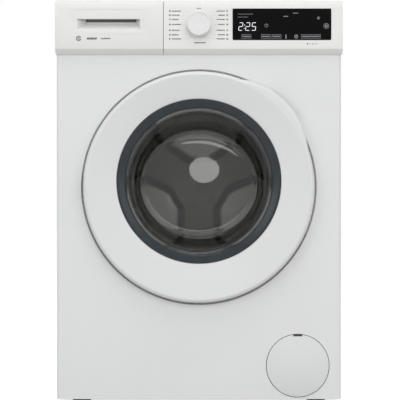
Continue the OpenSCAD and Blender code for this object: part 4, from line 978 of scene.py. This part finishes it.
settle(knob, knob_white, "knob", "control_knob", smooth=30)

# %% [markdown]
# ## Printed marks
# Prints are thin films. Each group of marks is one mesh of small flat shapes that stands
# about a tenth of a millimetre proud. The marks are plain signs: short dashes in the
# place of words, and a few rings, bars and dots, because this part carries no text.
# A shape is a list of faces, and a face is a list of (x, z) corners in millimetres.

# %% Flat shapes


def bar(x0, z0, x1, z1):
    """A rectangle between two corners."""
    return [[(x0, z0), (x1, z0), (x1, z1), (x0, z1)]]


def dot(x, z, r, sides=20):
    """A round dot."""
    return [[(x + r * math.cos(math.tau * i / sides), z + r * math.sin(math.tau * i / sides))
             for i in range(sides)]]


def hoop(x, z, r, line, sides=28, start=0.0, end=1.0):
    """A ring, or part of one, as a row of small four-sided faces."""
    found = []
    for i in range(sides):
        a = math.tau * (start + (end - start) * i / sides)
        b = math.tau * (start + (end - start) * (i + 1) / sides)
        found.append([(x + q * math.cos(c), z + q * math.sin(c))
                      for q, c in ((r, a), (r, b), (r - line, b), (r - line, a))])
    return found


def frame_of(x0, z0, x1, z1, line):
    """The outline of a rectangle, as four bars."""
    return (bar(x0, z0, x1, z0 + line) + bar(x0, z1 - line, x1, z1)
            + bar(x0, z0 + line, x0 + line, z1 - line) + bar(x1 - line, z0 + line, x1, z1 - line))


def stroke(x0, z0, x1, z1, line):
    """A straight line of a given width between two points."""
    way = Vector((x1 - x0, z1 - z0))
    side = Vector((-way.y, way.x)).normalized() * line / 2
    return [[(x0 + side.x, z0 + side.y), (x0 - side.x, z0 - side.y),
             (x1 - side.x, z1 - side.y), (x1 + side.x, z1 + side.y)]]


def dashes(x0, x1, z, high, seed):
    """Short dashes of uneven length, as a line of print looks from afar."""
    pick = random.Random(seed)
    found = []
    x = x0
    while x < x1 - 0.4:
        end = min(x1, x + pick.uniform(0.7, 2.0))
        lift = pick.uniform(-0.12, 0.12) * high
        found += bar(x, z - high / 2 + lift, end, z + high / 2 + lift)
        x = end + pick.uniform(0.35, 0.6)
    return found


print("flat shapes ready")

# %% Print a group of shapes


def printed(name, shapes, d, finish, body, thick=0.12):
    """One mesh of flat shapes, in millimetres, whose face lies at depth d."""
    build = bmesh.new()
    for shape in shapes:
        front = [build.verts.new((x * MM, depth(d), z * MM)) for x, z in shape]
        back = [build.verts.new((x * MM, depth(d + thick), z * MM)) for x, z in shape]
        build.faces.new(front)
        build.faces.new(back[::-1])
        for i in range(len(front)):
            j = (i + 1) % len(front)
            build.faces.new((front[i], back[i], back[j], front[j]))
    bmesh.ops.recalc_face_normals(build, faces=build.faces)
    obj = object_from(build, name)
    settle(obj, finish, body, smooth=20)
    return obj


print("shapes can be printed")

# %% Seven small signs
SIGN_GROWTH = 1.25                 # the signs are drawn small and printed larger by this


def small_sign(kind, x, z):
    """One of seven signs, about three millimetres wide."""
    if kind == 0:
        return hoop(x, z, 1.6, 0.8)
    if kind == 1:
        return frame_of(x - 1.5, z - 1.4, x + 1.5, z + 1.0, 0.8) + bar(x - 0.5, z + 1.0, x + 0.5, z + 1.6)
    if kind == 2:
        return stroke(x - 1.6, z - 1.2, x, z + 1.5, 0.8) + stroke(x, z + 1.5, x + 1.6, z - 1.2, 0.8)
    if kind == 3:
        return dot(x, z, 1.3) + bar(x - 0.25, z + 1.1, x + 0.25, z + 1.9)
    if kind == 4:
        return bar(x - 1.4, z - 1.3, x - 0.3, z + 1.3) + bar(x + 0.3, z - 1.3, x + 1.4, z + 1.3)
    if kind == 5:
        return (stroke(x - 1.4, z - 1.4, x + 1.4, z + 1.4, 0.8)
                + stroke(x - 1.4, z + 1.4, x + 1.4, z - 1.4, 0.8))
    return hoop(x, z, 1.6, 0.8, 20, 0.05, 0.8) + dot(x, z, 0.5, 12)


def sign(kind, x, z):
    """The same sign at the size that is printed."""
    return [[(x + SIGN_GROWTH * (u - x), z + SIGN_GROWTH * (v - z)) for u, v in face]
            for face in small_sign(kind, x, z)]


print("faces of the signs:", [len(sign(kind, 0, 0)) for kind in range(7)])

# %% Signs round the knob
KNOB_MM = KNOB_Z / MM
ROWS = [820.5, 812.0, 803.2, 792.6, 780.6, 771.2, 762.6]      # heights of the seven programmes
ARC_R = 34                         # the rows spread like points on a circle of this radius
LEADER_END = 31                    # the leaders end this far from the knob's middle
FASCIA_PRINT = FASCIA_D - 0.08     # the leaders are thinner and lie a little deeper

words, leaders = [], []
for row, z in enumerate(ROWS):
    turn = math.asin((z - KNOB_MM) / ARC_R)
    reach, rise = LEADER_END * math.cos(turn), LEADER_END * math.sin(turn)
    words += sign(row, -60.5, z) + dashes(-56.5, -37.5 - (row % 3) * 2.4, z, 2.3, 10 + row)
    words += sign(6 - row, 59.0, z) + dashes(37.0 + (row % 2) * 3.0, 54.0, z, 2.3, 30 + row)
    leaders += stroke(-36.0, z, -reach, KNOB_MM + rise, 0.28)
    leaders += stroke(35.5, z, reach, KNOB_MM + rise, 0.28)
words += dashes(-3.5, 4.0, 826.0, 2.2, 50) + dashes(-9.5, 14.5, 754.6, 2.4, 51)
printed("programme_signs", words, FASCIA_PRINT, grey_print, "cabinet")
printed("programme_leaders", leaders, FASCIA_D - 0.06, pale_print, "cabinet", 0.08)
mark = stroke(6.0, KNOB_MM + 15.2, 7.4, KNOB_MM + 19.2, 1.1)
printed("knob_mark", mark, KNOB_D - 0.12, pale_print, "knob", 0.3)
print("signs:", len(words), "shapes,", len(leaders), "leaders")

# %% Signs and bead of the drawer
RING_X, SIGN_Z = -250.5, 763.6

drawer_signs = hoop(RING_X, SIGN_Z, 5.4, 1.5, 36, 0.05, 0.98) + hoop(RING_X, SIGN_Z, 2.9, 0.9, 24)
drawer_signs += dot(RING_X, SIGN_Z, 0.9, 12)
drawer_signs += dashes(-233.5, -212.5, 763.4, 4.4, 60) + dashes(-204.5, -184, 763.4, 2.6, 61)
bead = frame_of(-262, 773.4, -114.8, 825.2, 1.0)
printed("drawer_bead", bead, FASCIA_D - 0.6, fascia_white, "drawer", 0.8)
printed("drawer_signs", drawer_signs, FASCIA_PRINT, grey_print, "drawer")
print("drawer signs:", len(drawer_signs), "shapes")

# %% [markdown]
# ## Display
# The display is black glass. The lit signs sit just in front of it so that they read in
# the render. The number is made of seven-segment digits, each segment a bar with pointed
# ends. The segments go by their usual letters, a at the top, g in the middle.

# %% Seven-segment digits
LIT = {"2": "abged", "5": "afgcd"}
LEAN = 0.10


def segment(x0, z0, x1, z1, line):
    """A bar with pointed ends between two points."""
    way = Vector((x1 - x0, z1 - z0)).normalized()
    side = Vector((-way.y, way.x)) * line / 2
    tip = way * line / 2
    a, b = Vector((x0, z0)), Vector((x1, z1))
    return [[tuple(a), tuple(a + tip - side), tuple(b - tip - side), tuple(b),
             tuple(b - tip + side), tuple(a + tip + side)]]


def digit(value, x, z, wide, high, line):
    """Seven-segment digit with its lower left corner at (x, z), leaning a little."""
    gap = line * 0.18
    ends = {"a": (0, 2, 1, 2), "b": (1, 1, 1, 2), "c": (1, 0, 1, 1), "d": (0, 0, 1, 0),
            "e": (0, 0, 0, 1), "f": (0, 1, 0, 2), "g": (0, 1, 1, 1)}
    found = []
    for name in LIT[value]:
        u0, v0, u1, v1 = ends[name]
        p = Vector((x + u0 * wide + v0 * high / 2 * LEAN, z + v0 * high / 2))
        q = Vector((x + u1 * wide + v1 * high / 2 * LEAN, z + v1 * high / 2))
        step = (q - p).normalized() * gap
        found += segment(*(p + step), *(q - step), line)
    return found


print("digits ready:", sorted(LIT))

# %% Bright number of the display
LIT_D = FASCIA_D - 0.55
DIGIT_Z = 780.3
DIGIT_WIDE, DIGIT_HIGH, DIGIT_LINE = 7.6, 16.0, 1.15

lit = []
for value, x in (("2", 82.6), ("2", 97.2), ("5", 110.0)):
    lit += digit(value, x, DIGIT_Z, DIGIT_WIDE, DIGIT_HIGH, DIGIT_LINE)
lit += dot(94.6, 784.6, 0.9) + dot(95.3, 791.4, 0.9)
printed("display_lit", lit, LIT_D, lit_segment, "cabinet")
print("number:", len(lit), "segments and dots")

# %% Dim signs of the display
STAR_X, STAR_Z = 249, 806

faint = dashes(81.5, 112.5, 814.2, 0.9, 70) + dashes(81.5, 102.0, 808.0, 0.9, 71)
faint += dashes(176, 186, 809.5, 1.8, 72) + dashes(196, 207, 816.2, 1.5, 73)
for k in range(8):
    turn = math.tau * k / 8
    faint += stroke(STAR_X, STAR_Z, STAR_X + 3.2 * math.cos(turn), STAR_Z + 3.2 * math.sin(turn), 0.8)
faint += dot(STAR_X, STAR_Z, 1.6)

dim = hoop(140.5, 790.5, 3.6, 0.7, 30, 0.30, 1.2) + stroke(140.5, 790.5, 140.5, 794.5, 0.7)
dim += hoop(265.5, 789.6, 5.6, 0.8, 40)
dim += bar(263.2, 786.8, 264.9, 792.4) + bar(266.1, 786.8, 267.8, 792.4)
for x0, x1 in ((89.2, 108.8), (130.2, 149.4), (151.8, 171.6), (213.0, 253.6)):
    dim += frame_of(x0, 763.4, x1, 772.0, 0.55) + dashes(x0 + 2.2, x1 - 2, 767.7, 2.6, int(x0))
dim += bar(180.4, 763.8, 182.4, 771.4) + dot(181.4, 764.6, 1.6)
dim += hoop(202.6, 767.6, 3.9, 1.3, 26) + bar(202.0, 766.0, 203.2, 769.2)
printed("display_dim", dim + faint, LIT_D, dim_segment, "cabinet")
under = dot(226.5, 752.4, 1.5) + dot(231.5, 752.4, 0.9) + hoop(237.5, 752.4, 2.0, 0.5)
under += dashes(241.5, 247, 752.4, 1.2, 80)
printed("display_foot_signs", under, FASCIA_PRINT, grey_print, "cabinet")
print("dim signs:", len(dim + faint), "shapes, under the display:", len(under))

# %% [markdown]
# ## Soft edges of the mouldings
# Real mouldings and folded sheets have no knife edges. Copies of the CAD pieces get
# their doubles merged, flat areas joined and sharp edges rounded, which is what draws
# the thin light lines along them.

# %% Rounded copies
softened("control_panel", 0.0009, fascia_white, "cabinet", 3)
drawer_face = softened("drawer_front", 0.0009, fascia_white, "drawer", 3)
softened("display_window", 0.0005, display_black, "cabinet", 2)
softened("worktop", 0.0012, top_white, "cabinet", 3)
softened("filter_cover", 0.0004, door_white, "filter_flap", 2)

# %% [markdown]
# ## Drawer pull
# Fingers reach into the pull and up behind its upper lip. Under that lip the pull has a
# slot, made dark by a dark grey strip of painted shadow inside it, and its two ends slope
# in as cheeks. A cheek is made like a very thick print, and its front corners are then
# pulled in to make the slope.

# %% Slot of the pull and its strip of painted shadow
SLOT_X0, SLOT_X1 = -0.238, -0.1315
STRIP_GAP = 0.0001

slot = rounded_block("pull_slot", (SLOT_X0, depth(-1), 0.8003), (SLOT_X1, depth(11), 0.8070), 0.0012)
cut(drawer_face, slot)
# A dark grey strip inside the slot is painted shadow under the upper lip.
strip = rounded_block("pull_shadow_strip", (SLOT_X0 + STRIP_GAP, depth(7.6), 0.8004),
                      (SLOT_X1 - STRIP_GAP, depth(10.9), 0.8069), 0.0005)
settle(strip, painted_shadow_grey, "drawer")
print("slot:", round((SLOT_X1 - SLOT_X0) / MM, 1), "mm wide")

# %% Cheeks of the pull
CHEEK_Z0, CHEEK_Z1 = 780.6, 803.6
CHEEK_EDGE = 0.0004                # a cheek keeps this thickness at its front

for side, front_x, back_x in (("left", -254.2, -239.5), ("right", -121.8, -130.8)):
    block = [[(front_x, CHEEK_Z0), (back_x, CHEEK_Z0), (back_x, CHEEK_Z1), (front_x, CHEEK_Z1)]]
    cheek = printed("pull_cheek_" + side, block, FASCIA_D + 0.6, fascia_white, None, 21)
    for corner in cheek.data.vertices:
        if abs(corner.co.x - back_x * MM) < 1e-5 and corner.co.y < depth(0):
            corner.co.x = front_x * MM + (CHEEK_EDGE if side == "left" else -CHEEK_EDGE)
    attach(cheek, "drawer")

# %% [markdown]
# ## Returns of the control panel
# A narrow upright strip at each side runs back from the fascia to the side panel and
# closes the cabinet there. It belongs to the control panel and stays when the drawer
# comes out, so both strips ride on the cabinet.

# %% Side returns
for side, turn in (("left", -1), ("right", 1)):
    near, far = sorted((turn * 0.2983, turn * 0.2970))
    edge = rounded_block("panel_return_" + side, (near, depth(2.3), 0.7343),
                         (far, depth(8.9), 0.8287), 0.0003)
    settle(edge, fascia_white, "cabinet")

# %% [markdown]
# ## Pieces that stretch between the cabinet and the tub
# The tub hangs on two springs and moves up and down while the cabinet stands still. The
# springs, the sump hose and the bellows are held at both ends, so they are copied from
# the CAD and smoothed; the copies are given no body to follow.

# %% Smoothed copies
for node, finish, start, end in (
        ("springs", spring_steel, (0, 0, 0.797), (0, 0, 0.655)),
        ("sump_hose", hose_rubber, (0, 0, 0.088), (0, 0, 0.150)),
        ("dispenser_bellows", black_rubber, (0, 0, 0.741), (0, 0, 0.729))):
    soft = softened(node, 0, finish, None, smooth=70)
    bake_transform(soft)

# %% [markdown]
# ## Rear fittings
# Eighteen pan head screws hold the rear panel and its cover. One head is turned and its
# cross recess is cut. Its copies are moved to their places, each turned a little
# differently, and joined into one piece, as in the CAD. The inlet carries a three quarter
# inch thread, shown here as the rings of its ridges.

# %% Places of the rear screws
REAR_D = 568.0                     # depth of the rear panel's face
EDGE_X = 288.5                     # the panel's screws stand this far to each side
FIRST_Z, PITCH = 90, 162.25        # height of the lowest ones, and their spacing
COVER_R = 196                      # radius of the cover's near screws
COVER_T = 0.8                      # thickness of the cover

screw_places = [(side * EDGE_X, FIRST_Z + i * PITCH, 0) for side in (-1, 1) for i in range(5)]
for step in range(8):
    turn = math.radians(45 * step)
    reach = COVER_R * (1 if step % 2 == 0 else 1.3)
    screw_places.append((reach * math.cos(turn), AXIS_Z / MM + reach * math.sin(turn), COVER_T))
print("screws:", len(screw_places))

# %% Screws with a cross recess
head = spun("screw", [(0, 566.0), (1.5, 566.0), (1.5, REAR_D), (4.0, REAR_D), (4.0, 568.7), (3.7, 569.4),
                      (2.9, 570.0), (1.6, 570.3), (0, 570.4)], 0, 0, 28)
for wide, high in ((1.9, 0.45), (0.45, 1.9)):
    cut(head, rounded_block("recess", (-wide * MM, depth(569.2), -high * MM),
                            (wide * MM, depth(572), high * MM), 0.0001, 1))
build = bmesh.new()
for x, z, lift in screw_places:
    one = head.data.copy()
    one.transform(Matrix.Translation((x * MM, lift * MM, z * MM))
                  @ Matrix.Rotation(math.radians(x + z), 4, "Y"))
    build.from_mesh(one)
    bpy.data.meshes.remove(one)
build.to_mesh(head.data)
build.free()
head.name = "rear_screws"
settle(head, bright_steel, "cabinet", "cabinet_screws", smooth=40)

# %% Thread of the inlet
RIDGES = 8
RIDGE_PITCH = 1.8

thread = [(12.6, 571.0)]
for k in range(RIDGES):
    thread += [(r, d + RIDGE_PITCH * k) for r, d in ((13.25, 571.2), (13.9, 571.9), (13.25, 572.6))]
thread += [(12.6, 586.0)]
inlet_thread = spun("inlet_thread", thread, -0.200, 0.785, 72)
settle(inlet_thread, valve_white, "cabinet", smooth=20)

# %% Finish
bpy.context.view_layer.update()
